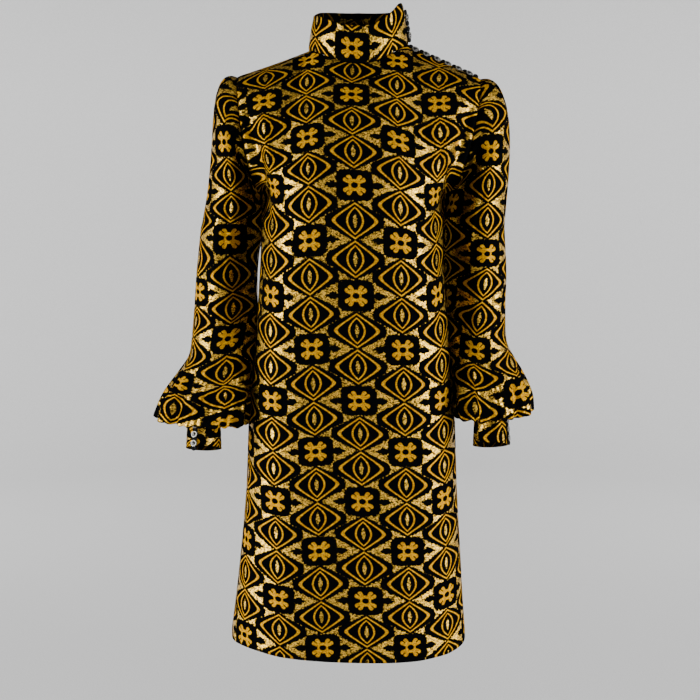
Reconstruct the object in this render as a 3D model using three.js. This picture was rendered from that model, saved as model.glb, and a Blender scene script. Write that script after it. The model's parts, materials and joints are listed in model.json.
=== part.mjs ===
// Long-sleeved shift dress in metallic brocade, in millimetres.
// +Z is up, the front faces -Y and the wearer's left is +X.
// The origin lies between the shoulders, level with the base of the neck.
import * as THREE from 'three';

// ---- driving dimensions -------------------------------------------------------------
const WALL = 2.0;               // thickness of the cloth
const SEAM = 0.36;              // gap between two pieces at a seam
const UNDERARM_GAP = 0.8;       // the same gap below the arm, where both walls turn down
const HEM_Z = -908;             // lower edge of the skirt
const UNDERARM_Z = -206;        // top of the side seams

// cross-sections of the dress body from the hem up to the underarm;
// a boxPower of 2 is an ellipse, and more is boxier
const BODY_SECTIONS = [
  { z: HEM_Z, halfWidth: 187.5, front: 131, back: 119, centreX: -11.5, boxPower: 2.35 },
  { z: -850, halfWidth: 181.5, front: 129, back: 116, centreX: -10, boxPower: 2.4 },
  { z: -770, halfWidth: 174.5, front: 126, back: 113, centreX: -8, boxPower: 2.5 },
  { z: -670, halfWidth: 166.5, front: 123, back: 109, centreX: -6.5, boxPower: 2.7 },
  { z: -530, halfWidth: 160, front: 120, back: 103, centreX: -6, boxPower: 2.9 },
  { z: -420, halfWidth: 150, front: 119, back: 97, centreX: -5, boxPower: 2.9 },
  { z: -340, halfWidth: 143, front: 122, back: 93, centreX: -6, boxPower: 2.75 },
  { z: -275, halfWidth: 140, front: 126, back: 93, centreX: -5.5, boxPower: 2.5 },
  { z: UNDERARM_Z, halfWidth: 139, front: 122, back: 96, centreX: -4, boxPower: 2.35 },
];

// soft flutes that fall down the skirt; angle runs round from the wearer's left
const SKIRT_FLUTES = [
  { angle: 22, width: 9, depth: 5.0, top: -560 },
  { angle: 47, width: 10, depth: -3.5, top: -640 },
  { angle: 134, width: 11, depth: -3.0, top: -600 },
  { angle: 157, width: 9, depth: 5.5, top: -520 },
  { angle: 203, width: 10, depth: 4.5, top: -560 },
  { angle: 238, width: 13, depth: -4.0, top: -620 },
  { angle: 292, width: 14, depth: -3.5, top: -600 },
  { angle: 334, width: 10, depth: 5.0, top: -540 },
];

// neckline, where the collar is sewn to the body
const NECK = { centreX: 4, centreY: -3, halfWidth: 76, front: 61, back: 57 };
const NECK_HEIGHT = { front: -20, right: 5, back: 6, left: 14 };

// shoulder points and armholes of the two sides
const SIDES = {
  right: { sign: -1, shoulder: [-181, 3, -32], frontDip: 47, backDip: 50 },
  left: { sign: 1, shoulder: [190, 3, -35], frontDip: 47, backDip: 50 },
};
// how the cloth leaves the top edge: reach forward (side, middle) and fall
const YOKE = {
  chest: [55, 92], shoulderBlade: [60, 70], collarbone: 55, shoulderFall: 14, neckFall: 140,
};
const SHOULDER_SAG = 1.0;       // dip of the shoulder seam between neck and shoulder point
const ARMHOLE_POWER = 0.42;     // how long the armhole stays wide before it turns in

// sleeve tubes from the biceps down to the widest ring of the blouse
const SLEEVE_RINGS = {
  right: [
    { z: -262, centreX: -188.3, centreY: -4, halfX: 51, halfY: 56 },
    { z: -330, centreX: -198.0, centreY: -8, halfX: 48.5, halfY: 55 },
    { z: -385, centreX: -197.3, centreY: -13, halfX: 53.0, halfY: 55 },
    { z: -434, centreX: -202.3, centreY: -20, halfX: 52.2, halfY: 56 },
    { z: -459, centreX: -205.2, centreY: -25, halfX: 53.0, halfY: 57 },
    { z: -483, centreX: -212.8, centreY: -29, halfX: 58.8, halfY: 60 },
    { z: -517, centreX: -225.5, centreY: -38, halfX: 66.5, halfY: 65 },
    { z: -553, centreX: -235.0, centreY: -45, halfX: 70.5, halfY: 67 },
  ],
  left: [
    { z: -262, centreX: 178.5, centreY: -4, halfX: 51, halfY: 56 },
    { z: -330, centreX: 180.8, centreY: -8, halfX: 52.3, halfY: 55 },
    { z: -385, centreX: 183.4, centreY: -13, halfX: 48.4, halfY: 55 },
    { z: -434, centreX: 186.8, centreY: -20, halfX: 46.8, halfY: 56 },
    { z: -459, centreX: 192.0, centreY: -25, halfX: 51.0, halfY: 57 },
    { z: -483, centreX: 200.0, centreY: -29, halfX: 55.0, halfY: 59 },
    { z: -517, centreX: 207.5, centreY: -38, halfX: 59.0, halfY: 64 },
    { z: -543, centreX: 210.0, centreY: -44, halfX: 58.0, halfY: 65 },
  ],
};
const SLEEVE_CLEARANCE = 1.4;   // room between a sleeve and the side of the body
const BLOUSE = { drop: 3, gathers: 10, uneven: 0.45, gatherDepth: 4.6, start: -425, tilt: 5 };
// the blouse turns under its widest ring, hangs past the top of the cuff and rises to it
const BLOUSE_UNDERSIDE = [
  { inward: 0.04, drop: 0.6 }, { inward: 0.16, drop: 1 }, { inward: 0.6, drop: 1.8 },
];
// sleeve head: how the cloth leaves the armhole over the arm and how it meets the tube
const HEADS = {
  right: { reach: 162, lift: 17, downward: 405, lean: 54 },
  left: { reach: 211, lift: 4, downward: 130, lean: -6 },
};
const HEAD_UNDERARM = { reach: 6, downward: 70, frontLift: 10 };
const HEAD_GATHERS = { round: 12, depth: 1.6, at: 0.14, length: 0.12 };
// the deep fold where the front of the sleeve turns in to the side of the body
// (widths in degrees of turn; it starts at topZ, is whole from fullZ to lowZ and is gone at endZ,
// and grows over headShare of the sleeve head)
const TUCK = {
  turn: 122, frontWidth: 17, innerWidth: 45, depth: 30,
  topZ: -120, fullZ: -150, lowZ: -320, endZ: -450, headShare: 0.4,
};

// cuffs: bands that lean forward with the forearm, open on the outer side
const CUFFS = {
  right: { centreX: -232, centreY: -57, topZ: -541, opening: 57 },
  left: { centreX: 205.5, centreY: -57, topZ: -536, opening: 14 },
};
const CUFF_GAP = 0.5;           // room round the cuff inside the gathered end of the sleeve
const CUFF = { halfX: 23.5, halfY: 28, front: 42, back: 64, lean: 12, underlap: 24, flare: 3.5 };

// standing collar: rim height over the angle round the neck from centre front,
// positive towards the wearer's left
const COLLAR_RIM = [
  { angle: -180, z: 70 }, { angle: -125, z: 67 }, { angle: -90, z: 57 },
  { angle: -55, z: 50 }, { angle: -25, z: 38 }, { angle: 0, z: 34 },
  { angle: 22, z: 39 }, { angle: 45, z: 56 }, { angle: 66, z: 72 },
  { angle: 90, z: 68 }, { angle: 135, z: 68 }, { angle: 180, z: 70 },
];
const COLLAR = { rimHalfWidth: 67.5, rimFront: 62, rimBack: 55, bulge: 1.5, opening: 84, slit: 1.2 };

const BUTTON = { radius: 5.2, height: 3.4, shankRadius: 2.0, shank: 1.4 };
const SHOULDER_BUTTONS = { count: 6, firstX: 88, pitch: 16.6, forward: 0.5 };
const COLLAR_BUTTONS = [{ z: 55 }, { z: 28 }];
const CUFF_BUTTONS = { count: 3, first: 14, pitch: 13 };

// lift of the hem line over the angle round the body
const HEM_LINE = [
  { angle: 0, lift: 9 }, { angle: 14, lift: 5 }, { angle: 38, lift: -8 },
  { angle: 70, lift: -6 }, { angle: 100, lift: -2 }, { angle: 140, lift: 1 },
  { angle: 163, lift: 7 }, { angle: 180, lift: 10 }, { angle: 225, lift: 2 },
  { angle: 270, lift: 0 }, { angle: 320, lift: 1 }, { angle: 360, lift: 9 },
];

// numbers of facets
const HEM_ROWS = 13;            // rows from the hem to the underarm
const ARMHOLE_ROWS = 10;        // rows from the underarm to the shoulder
const SHOULDER_COLUMNS = 6;
const NECK_COLUMNS = 14;
const SLEEVE_SEGMENTS = 4 * ARMHOLE_ROWS;
const HEAD_ROWS = 8;
const TUBE_ROWS = 10;
const CUFF_SEGMENTS = SLEEVE_SEGMENTS / 2;
const CUFF_ROWS = 4;
const COLLAR_ROWS = 4;

const CLOTH = { color: 0x8a6420, roughness: 0.45, metalness: 0.55 };
const BUTTON_FINISH = { color: 0xcfc8b4, roughness: 0.25, metalness: 0.6 };

// ---- small helpers -------------------------------------------------------------------
const { sin, cos, abs, sign, PI, exp } = Math;
const rad = THREE.MathUtils.degToRad;
const lerp = THREE.MathUtils.lerp;
const smooth = THREE.MathUtils.smoothstep;
const vec = (x, y, z) => new THREE.Vector3(x, y, z);

// smooth reading of one column of a table whose rows are sorted by `key`
function read(table, key, column, at) {
  const up = table[table.length - 1][key] > table[0][key] ? 1 : -1;
  let i = 0;
  while (i < table.length - 2 && up * at > up * table[i + 1][key]) i += 1;
  const before = table[Math.max(i - 1, 0)];
  const a = table[i];
  const b = table[i + 1];
  const after = table[Math.min(i + 2, table.length - 1)];
  const span = b[key] - a[key];
  const t = THREE.MathUtils.clamp((at - a[key]) / span, 0, 1);
  const slopeA = (b[column] - before[column]) / (b[key] - before[key]) * span;
  const slopeB = (after[column] - a[column]) / (after[key] - a[key]) * span;
  return hermite(a[column], b[column], slopeA, slopeB, t);
}

function hermite(a, b, slopeA, slopeB, t) {
  const t2 = t * t;
  const t3 = t2 * t;
  return (2 * t3 - 3 * t2 + 1) * a + (t3 - 2 * t2 + t) * slopeA
    + (3 * t2 - 2 * t3) * b + (t3 - t2) * slopeB;
}

function hermitePoint(a, b, slopeA, slopeB, t) {
  return vec(
    hermite(a.x, b.x, slopeA.x, slopeB.x, t),
    hermite(a.y, b.y, slopeA.y, slopeB.y, t),
    hermite(a.z, b.z, slopeA.z, slopeB.z, t),
  );
}

const signedPower = (value, power) => sign(value) * abs(value) ** power;

// ---- a closed wall from a grid of outer points ---------------------------------------
// grid[row][column]; `round` joins the last column to the first.
// `levelSeam(row, column)` names points whose wall must not lean across the seam plane Y.
function wall(grid, { round = false, levelSeam = () => false } = {}) {
  const rows = grid.length;
  const columns = grid[0].length;
  const wrap = (c) => (round ? (c + columns) % columns : THREE.MathUtils.clamp(c, 0, columns - 1));
  const limit = (r) => THREE.MathUtils.clamp(r, 0, rows - 1);
  const normals = grid.map((line, r) => line.map((_, c) => {
    const across = vec().subVectors(grid[r][wrap(c + 1)], grid[r][wrap(c - 1)]);
    const along = vec().subVectors(grid[limit(r + 1)][c], grid[limit(r - 1)][c]);
    const normal = across.cross(along);
    if (levelSeam(r, c)) normal.y = 0;
    return normal.normalize();
  }));
  const positions = [];
  for (const offset of [0, -WALL]) {
    for (let r = 0; r < rows; r += 1) {
      for (let c = 0; c < columns; c += 1) {
        const p = grid[r][c].clone().addScaledVector(normals[r][c], offset);
        positions.push(p.x, p.y, p.z);
      }
    }
  }
  const outer = (r, c) => r * columns + wrap(c);
  const inner = (r, c) => rows * columns + outer(r, c);
  const index = [];
  const quad = (a, b, c, d) => index.push(a, b, c, a, c, d);
  const lastColumn = round ? columns : columns - 1;
  for (let r = 0; r < rows - 1; r += 1) {
    for (let c = 0; c < lastColumn; c += 1) {
      quad(outer(r, c), outer(r, c + 1), outer(r + 1, c + 1), outer(r + 1, c));
      quad(inner(r, c), inner(r + 1, c), inner(r + 1, c + 1), inner(r, c + 1));
    }
    if (!round) {
      quad(outer(r, 0), outer(r + 1, 0), inner(r + 1, 0), inner(r, 0));
      quad(outer(r, lastColumn), inner(r, lastColumn), inner(r + 1, lastColumn), outer(r + 1, lastColumn));
    }
  }
  for (let c = 0; c < lastColumn; c += 1) {
    quad(outer(0, c), inner(0, c), inner(0, c + 1), outer(0, c + 1));
    quad(outer(rows - 1, c), outer(rows - 1, c + 1), inner(rows - 1, c + 1), inner(rows - 1, c));
  }
  const geometry = new THREE.BufferGeometry();
  geometry.setAttribute('position', new THREE.Float32BufferAttribute(positions, 3));
  geometry.setIndex(index);
  geometry.computeVertexNormals();
  return geometry;
}

function clothPiece(name, grid, options) {
  const mesh = new THREE.Mesh(wall(grid, options), new THREE.MeshStandardMaterial(CLOTH));
  mesh.name = name;
  return mesh;
}

// ---- body of the dress ----------------------------------------------------------------
// angle 0 is the wearer's left side seam, 90 the centre front, 180 the right seam, 270 the back
function bodyPoint(angle, z) {
  const a = rad(angle);
  const section = (column) => read(BODY_SECTIONS, 'z', column, z);
  const depth = sin(a) >= 0 ? section('front') : section('back');
  const across = signedPower(cos(a), 2 / section('boxPower'));
  const outward = signedPower(sin(a), 2 / section('boxPower'));
  let grow = 0;
  for (const flute of SKIRT_FLUTES) {
    const near = (angle - flute.angle) / flute.width;
    grow += flute.depth * exp(-near * near) * smooth(-z, -flute.top, -HEM_Z);
  }
  const x = section('centreX') + (section('halfWidth') + grow) * across;
  return vec(x, -(depth + grow) * outward, z);
}

// neckline point; angle 0 is the centre front, positive towards the wearer's left
function neckPoint(angle) {
  const a = rad(angle);
  const frontness = (1 + cos(a)) / 2;
  const level = lerp(NECK_HEIGHT.back, NECK_HEIGHT.front, frontness ** 1.3);
  const sideLevel = sin(a) > 0 ? NECK_HEIGHT.left : NECK_HEIGHT.right;
  const z = lerp(level, sideLevel, sin(a) ** 2);
  const depth = cos(a) > 0 ? NECK.front : NECK.back;
  return vec(NECK.centreX + NECK.halfWidth * sin(a), NECK.centreY - depth * cos(a), z);
}

// armhole point; turn 0 is the shoulder, 90 the front, 180 the underarm, 270 the back
function armholePoint(side, turn) {
  const { sign: towards, shoulder, frontDip, backDip } = SIDES[side];
  const t = rad(turn);
  const under = bodyPoint(towards > 0 ? 0 : 180, UNDERARM_Z);
  const high = (1 + cos(t)) / 2;
  const dip = sin(t) > 0 ? frontDip : backDip;
  return vec(
    lerp(under.x, shoulder[0], high ** ARMHOLE_POWER),
    lerp(under.y, shoulder[1], high) - dip * sin(t),
    lerp(UNDERARM_Z, shoulder[2], high),
  );
}

// shoulder seam; t runs from the shoulder point to the neck
function shoulderSeam(side, t) {
  const { sign: towards, shoulder } = SIDES[side];
  const p = vec(...shoulder).lerp(neckPoint(90 * towards), t);
  p.z -= SHOULDER_SAG * sin(PI * t);
  return p;
}

// top edge of the front or back panel, column 0 at the wearer's right shoulder
function topPoint(column, facing) {
  const columns = 2 * SHOULDER_COLUMNS + NECK_COLUMNS;
  if (column < SHOULDER_COLUMNS) return shoulderSeam('right', column / SHOULDER_COLUMNS);
  if (column > columns - SHOULDER_COLUMNS) {
    return shoulderSeam('left', (columns - column) / SHOULDER_COLUMNS);
  }
  const sweep = (column - SHOULDER_COLUMNS) / NECK_COLUMNS;
  return facing > 0 ? neckPoint(-90 + 180 * sweep) : neckPoint(-90 - 180 * sweep);
}

// facing is 1 for the front panel and -1 for the back panel
function panelGrid(facing) {
  const columns = 2 * SHOULDER_COLUMNS + NECK_COLUMNS;
  const seamAngle = (column) => facing * (180 - 180 * column / columns);
  const grid = [];
  for (let row = 0; row < HEM_ROWS; row += 1) {
    const z = lerp(HEM_Z, UNDERARM_Z, row / HEM_ROWS);
    const line = [];
    const low = (1 - row / HEM_ROWS) ** 4;
    for (let c = 0; c <= columns; c += 1) {
      const angle = (seamAngle(c) + 360) % 360;
      const p = bodyPoint(angle, z);
      p.z += low * read(HEM_LINE, 'angle', 'lift', angle);
      line.push(p);
    }
    grid.push(line);
  }
  for (let row = 0; row <= ARMHOLE_ROWS; row += 1) {
    const down = 1 - row / ARMHOLE_ROWS;
    const line = [];
    for (let c = 0; c <= columns; c += 1) {
      line.push(yokePoint(c, columns, down, facing, seamAngle));
    }
    grid.push(line);
  }
  for (const line of grid) {
    line[0].y -= facing * SEAM / 2;
    line[columns].y -= facing * SEAM / 2;
  }
  const top = grid[grid.length - 1];
  for (let c = 1; c < columns; c += 1) {
    if (c <= SHOULDER_COLUMNS || c >= columns - SHOULDER_COLUMNS) top[c].y -= facing * SEAM / 2;
  }
  return grid;
}

// curve of one column from the top edge (down 0) to the underarm level (down 1)
function yokeCurve(column, columns, down, facing, seamAngle) {
  const angle = (seamAngle(column) + 360) % 360;
  const bottom = bodyPoint(angle, UNDERARM_Z);
  const below = bodyPoint(angle, UNDERARM_Z - 20);
  const middle = sin(PI * column / columns);
  const inside = Math.min(column, columns - column) - SHOULDER_COLUMNS;
  const fall = lerp(YOKE.shoulderFall, YOKE.neckFall, smooth(inside, -4, 5));
  const reach = facing > 0 ? YOKE.chest : YOKE.shoulderBlade;
  const forward = lerp(...reach, middle) + YOKE.collarbone * exp(-((inside / 2.5) ** 2));
  const slopeTop = vec(0, -facing * forward, -fall);
  const slopeBottom = below.sub(bottom).multiplyScalar(lerp(6, 9, middle));
  return hermitePoint(topPoint(column, facing), bottom, slopeTop, slopeBottom, down);
}

// point of the chest or upper back, pulled out to the armhole near its edges
function yokePoint(column, columns, down, facing, seamAngle) {
  const u = column / columns;
  const edge = u < 0.5 ? 0 : columns;
  const side = u < 0.5 ? 'right' : 'left';
  const turn = facing > 0 ? 180 * down : 360 - 180 * down;
  const hold = smooth(0.34 - Math.min(u, 1 - u), 0, 0.34);
  const pull = armholePoint(side, turn).sub(yokeCurve(edge, columns, down, facing, seamAngle));
  return yokeCurve(column, columns, down, facing, seamAngle).addScaledVector(pull, hold);
}

function bodyPanel(name, facing) {
  const columns = 2 * SHOULDER_COLUMNS + NECK_COLUMNS;
  const lastRow = HEM_ROWS + ARMHOLE_ROWS;
  const levelSeam = (row, column) => {
    const onSide = (column === 0 || column === columns) && row <= HEM_ROWS;
    const onShoulder = row === lastRow
      && (column <= SHOULDER_COLUMNS || column >= columns - SHOULDER_COLUMNS);
    return onSide || onShoulder;
  };
  const grid = panelGrid(facing);
  if (facing < 0) grid.forEach((line) => line.reverse());
  return clothPiece(name, grid, { levelSeam });
}

// ---- sleeves --------------------------------------------------------------------------
// the armhole as the body panels cut it: corner points at their rows, straight between them
function armholeChord(side, step) {
  const at = (index) => armholePoint(side, index * 180 / ARMHOLE_ROWS);
  const index = step / 2;
  if (Number.isInteger(index)) return at(index);
  return at(Math.floor(index)).lerp(at(Math.ceil(index)), 0.5);
}

// half the width of the body at a depth y, measured from its middle
function bodyReach(y, z) {
  const section = (column) => read(BODY_SECTIONS, 'z', column, z);
  const depth = y < 0 ? section('front') : section('back');
  const part = Math.min(abs(y) / depth, 1);
  const power = section('boxPower');
  return section('halfWidth') * (1 - part ** power) ** (1 / power);
}

// the sleeve lies against the side of the body and stays just clear of it
function keepClear(p, towards) {
  const middle = read(BODY_SECTIONS, 'z', 'centreX', p.z);
  const nearest = middle + towards * (bodyReach(p.y, p.z) + SLEEVE_CLEARANCE);
  p.x = towards > 0 ? Math.max(p.x, nearest) : Math.min(p.x, nearest);
  return p;
}

// how far back the fold takes a point of the sleeve
function tuckDepth(turn, z) {
  const width = turn < TUCK.turn ? TUCK.frontWidth : TUCK.innerWidth;
  const near = (turn - TUCK.turn) / width;
  return TUCK.depth * exp(-near * near) * smooth(-z, -TUCK.topZ, -TUCK.fullZ)
    * (1 - smooth(-z, -TUCK.lowZ, -TUCK.endZ));
}

function sleeveRing(side, turn, z) {
  const { sign: towards } = SIDES[side];
  const table = SLEEVE_RINGS[side];
  const column = (name) => read(table, 'z', name, z);
  const t = rad(turn);
  const full = smooth(-z, -BLOUSE.start, -table[table.length - 1].z);
  const ripple = cos(BLOUSE.gathers * t) + BLOUSE.uneven * cos((BLOUSE.gathers - 3) * t + 1.3);
  const swell = full * BLOUSE.gatherDepth * ripple;
  return keepClear(vec(
    column('centreX') + towards * (column('halfX') + swell) * cos(t),
    column('centreY') - (column('halfY') + swell) * sin(t) + tuckDepth(turn, z),
    z + full * BLOUSE.tilt * cos(t),
  ), towards);
}

function cuffPoint(side, turn, down, inset = 0) {
  const { sign: towards } = SIDES[side];
  const { centreX, centreY, topZ } = CUFFS[side];
  const t = rad(turn);
  const height = lerp(CUFF.back, CUFF.front, (1 + sin(t)) / 2);
  const grow = CUFF.flare * down - inset;
  return vec(
    centreX + towards * (CUFF.halfX + grow) * cos(t),
    centreY - CUFF.lean * down - (CUFF.halfY + grow) * sin(t),
    topZ - height * down,
  );
}

// the cuff's top edge as its facets cut it
function cuffChord(side, step, inset) {
  const at = (index) => cuffPoint(side, index * 360 / CUFF_SEGMENTS, 0, inset);
  const index = step / 2;
  if (Number.isInteger(index)) return at(index);
  return at(Math.floor(index)).lerp(at(Math.ceil(index)), 0.5);
}

function sleeveGrid(side) {
  const { sign: towards } = SIDES[side];
  const { reach, lift, downward, lean } = HEADS[side];
  const table = SLEEVE_RINGS[side];
  const firstZ = table[0].z;
  const lastZ = table[table.length - 1].z;
  const rows = HEAD_ROWS + TUBE_ROWS + 4;
  const grid = Array.from({ length: rows + 1 }, () => []);
  for (let step = 0; step < SLEEVE_SEGMENTS; step += 1) {
    const turn = 360 * step / SLEEVE_SEGMENTS;
    const t = rad(turn);
    const high = (1 + cos(t)) / 2;
    const start = armholeChord(side, step);
    start.x += towards * lerp(UNDERARM_GAP, SEAM, high);
    const end = sleeveRing(side, turn, firstZ);
    const below = sleeveRing(side, turn, firstZ - 10);
    end.y -= tuckDepth(turn, end.z);
    below.y -= tuckDepth(turn, below.z);
    const slopeEnd = below.sub(end).multiplyScalar(lerp(HEAD_UNDERARM.downward, downward, high) / 10);
    slopeEnd.x += towards * lean * high;
    const slopeStart = vec(
      towards * lerp(HEAD_UNDERARM.reach, reach, high),
      -HEAD_UNDERARM.frontLift * sin(t),
      lift * high * high,
    );
    for (let row = 0; row <= HEAD_ROWS; row += 1) {
      const down = row / HEAD_ROWS;
      const p = hermitePoint(start, end, slopeStart, slopeEnd, down);
      const { round, depth, at, length } = HEAD_GATHERS;
      const ripple = depth * cos(round * t) * high ** 3;
      if (row > 0) p.z += ripple * exp(-(((down - at) / length) ** 2));
      p.y += tuckDepth(turn, p.z) * smooth(down, 0, TUCK.headShare);
      grid[row].push(row > 0 && p.z < UNDERARM_Z ? keepClear(p, towards) : p);
    }
    for (let row = 1; row <= TUBE_ROWS; row += 1) {
      grid[HEAD_ROWS + row].push(sleeveRing(side, turn, lerp(firstZ, lastZ, row / TUBE_ROWS)));
    }
    const rim = sleeveRing(side, turn, lastZ);
    const seam = cuffChord(side, step, -CUFF_GAP);
    BLOUSE_UNDERSIDE.forEach(({ inward, drop }, i) => {
      const p = rim.clone().lerp(seam, inward);
      p.z -= drop * BLOUSE.drop;
      grid[HEAD_ROWS + TUBE_ROWS + 1 + i].push(p);
    });
    grid[rows].push(seam);
  }
  if (towards < 0) grid.forEach((line) => line.reverse());
  return grid;
}

// ---- cuffs ----------------------------------------------------------------------------
function cuffGrid(side) {
  const { sign: towards } = SIDES[side];
  const { opening } = CUFFS[side];
  const step = 360 / CUFF_SEGMENTS;
  const angles = [opening];
  for (let i = Math.ceil((opening + 1) / step); i * step < opening + 356; i += 1) angles.push(i * step);
  angles.push(opening + 359, opening + 360 + CUFF.underlap * 0.5, opening + 360 + CUFF.underlap);
  const grid = [];
  for (let row = 0; row <= CUFF_ROWS; row += 1) {
    grid.push(angles.map((angle) => {
      const tucked = smooth(angle, opening + 340, opening + 358);
      return cuffPoint(side, angle, row / CUFF_ROWS, tucked * (WALL + 0.7));
    }));
  }
  if (towards < 0) grid.forEach((line) => line.reverse());
  return grid;
}

// ---- collar ---------------------------------------------------------------------------
function collarPoint(angle, up) {
  const a = rad(angle);
  const base = neckPoint(angle);
  base.z += SEAM;
  const rimZ = read(COLLAR_RIM, 'angle', 'z', THREE.MathUtils.euclideanModulo(angle + 180, 360) - 180);
  const depth = cos(a) > 0 ? COLLAR.rimFront : COLLAR.rimBack;
  const rim = vec(
    NECK.centreX + COLLAR.rimHalfWidth * sin(a),
    NECK.centreY - depth * cos(a),
    rimZ,
  );
  const p = base.lerp(rim, up);
  const swell = COLLAR.bulge * sin(PI * up);
  p.x += swell * sin(a);
  p.y -= swell * cos(a);
  return p;
}

function collarGrid() {
  const step = 180 / NECK_COLUMNS;
  const halfSlit = THREE.MathUtils.radToDeg(COLLAR.slit / 2 / NECK.halfWidth);
  const first = COLLAR.opening + halfSlit;
  const last = COLLAR.opening + 360 - halfSlit;
  const angles = [first];
  const count = Math.round(360 / step);
  for (let i = 0; i < 2 * count; i += 1) {
    const angle = -90 + i * step;
    if (angle > first + 1 && angle < last - 1) angles.push(angle);
  }
  angles.push(last);
  const grid = [];
  for (let row = 0; row <= COLLAR_ROWS; row += 1) {
    grid.push(angles.map((angle) => collarPoint(angle, row / COLLAR_ROWS)));
  }
  return grid;
}

// ---- buttons --------------------------------------------------------------------------
function button(name, seat, outward) {
  const { radius, height, shankRadius, shank } = BUTTON;
  const profile = [
    [0, 0], [shankRadius, 0], [shankRadius, shank], [radius * 0.86, shank],
    [radius, shank + height * 0.35], [radius * 0.72, shank + height * 0.85], [0, shank + height],
  ].map(([r, y]) => new THREE.Vector2(r, y));
  const mesh = new THREE.Mesh(
    new THREE.LatheGeometry(profile, 10),
    new THREE.MeshStandardMaterial(BUTTON_FINISH),
  );
  mesh.name = name;
  mesh.quaternion.setFromUnitVectors(vec(0, 1, 0), outward);
  mesh.position.copy(seat).addScaledVector(outward, SEAM);
  return mesh;
}

function collarButtons(group) {
  COLLAR_BUTTONS.forEach(({ z }, i) => {
    const angle = COLLAR.opening + 4;
    const base = collarPoint(angle, 0);
    const rim = collarPoint(angle, 1);
    const seat = collarPoint(angle, (z - base.z) / (rim.z - base.z));
    const outward = vec(sin(rad(angle)), -cos(rad(angle)), 0.05).normalize();
    group.add(button(`button_collar_${i + 1}`, seat, outward));
  });
}

// the buttons sit on the narrow strip of the front panel that leads away from the seam
function shoulderButtons(group) {
  const columns = 2 * SHOULDER_COLUMNS + NECK_COLUMNS;
  const [strip, edge] = panelGrid(1).slice(-2);
  const [shoulderX, neckX] = [edge[columns].x, edge[columns - SHOULDER_COLUMNS].x];
  for (let i = 0; i < SHOULDER_BUTTONS.count; i += 1) {
    const x = SHOULDER_BUTTONS.firstX + SHOULDER_BUTTONS.pitch * i;
    const column = columns - SHOULDER_COLUMNS * (shoulderX - x) / (shoulderX - neckX);
    const before = Math.floor(column);
    const at = (line) => line[before].clone().lerp(line[before + 1], column - before);
    const along = (line) => vec().subVectors(line[before + 1], line[before]);
    const down = at(strip).sub(at(edge));
    const seat = at(edge).addScaledVector(down, SHOULDER_BUTTONS.forward);
    const outward = down.clone().cross(along(edge)).normalize();
    group.add(button(`button_shoulder_${i + 1}`, seat, outward));
  }
}

function cuffButtons(group, side) {
  const { sign: towards } = SIDES[side];
  const { opening } = CUFFS[side];
  const turn = opening + 11;
  for (let i = 0; i < CUFF_BUTTONS.count; i += 1) {
    const wanted = CUFF_BUTTONS.first + CUFF_BUTTONS.pitch * i;
    const down = cuffPoint(side, turn, 1).sub(cuffPoint(side, turn, 0));
    const seat = cuffPoint(side, turn, -wanted / down.z);
    const outward = vec(towards * cos(rad(turn)) / CUFF.halfX, -sin(rad(turn)) / CUFF.halfY, 0);
    outward.z = -(outward.x * down.x + outward.y * down.y) / down.z;
    outward.normalize();
    group.add(button(`button_cuff_${side}_${i + 1}`, seat, outward));
  }
}

// ---- the dress ------------------------------------------------------------------------
const dress = new THREE.Group();
dress.add(bodyPanel('front', 1));
dress.add(bodyPanel('back', -1));
for (const side of ['right', 'left']) {
  dress.add(clothPiece(`sleeve_${side}`, sleeveGrid(side), { round: true }));
  dress.add(clothPiece(`cuff_${side}`, cuffGrid(side)));
  cuffButtons(dress, side);
}
dress.add(clothPiece('collar', collarGrid()));
collarButtons(dress);
shoulderButtons(dress);

export default dress;
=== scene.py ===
# %% [markdown]
# # A brocade cocktail dress
# The dress is a short shift with long sleeves, a standing collar and rows of small jewelled
# buttons. It hangs as if it was worn, so every panel is a thin curved shell of cloth.
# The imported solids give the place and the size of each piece. Each cloth piece is rebuilt here
# as a finer surface on the same form, and then takes folds, gathers and a woven pattern.

# %% Frame
import json

import bmesh
import bpy
import numpy as np
from mathutils import Matrix, Vector

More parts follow.
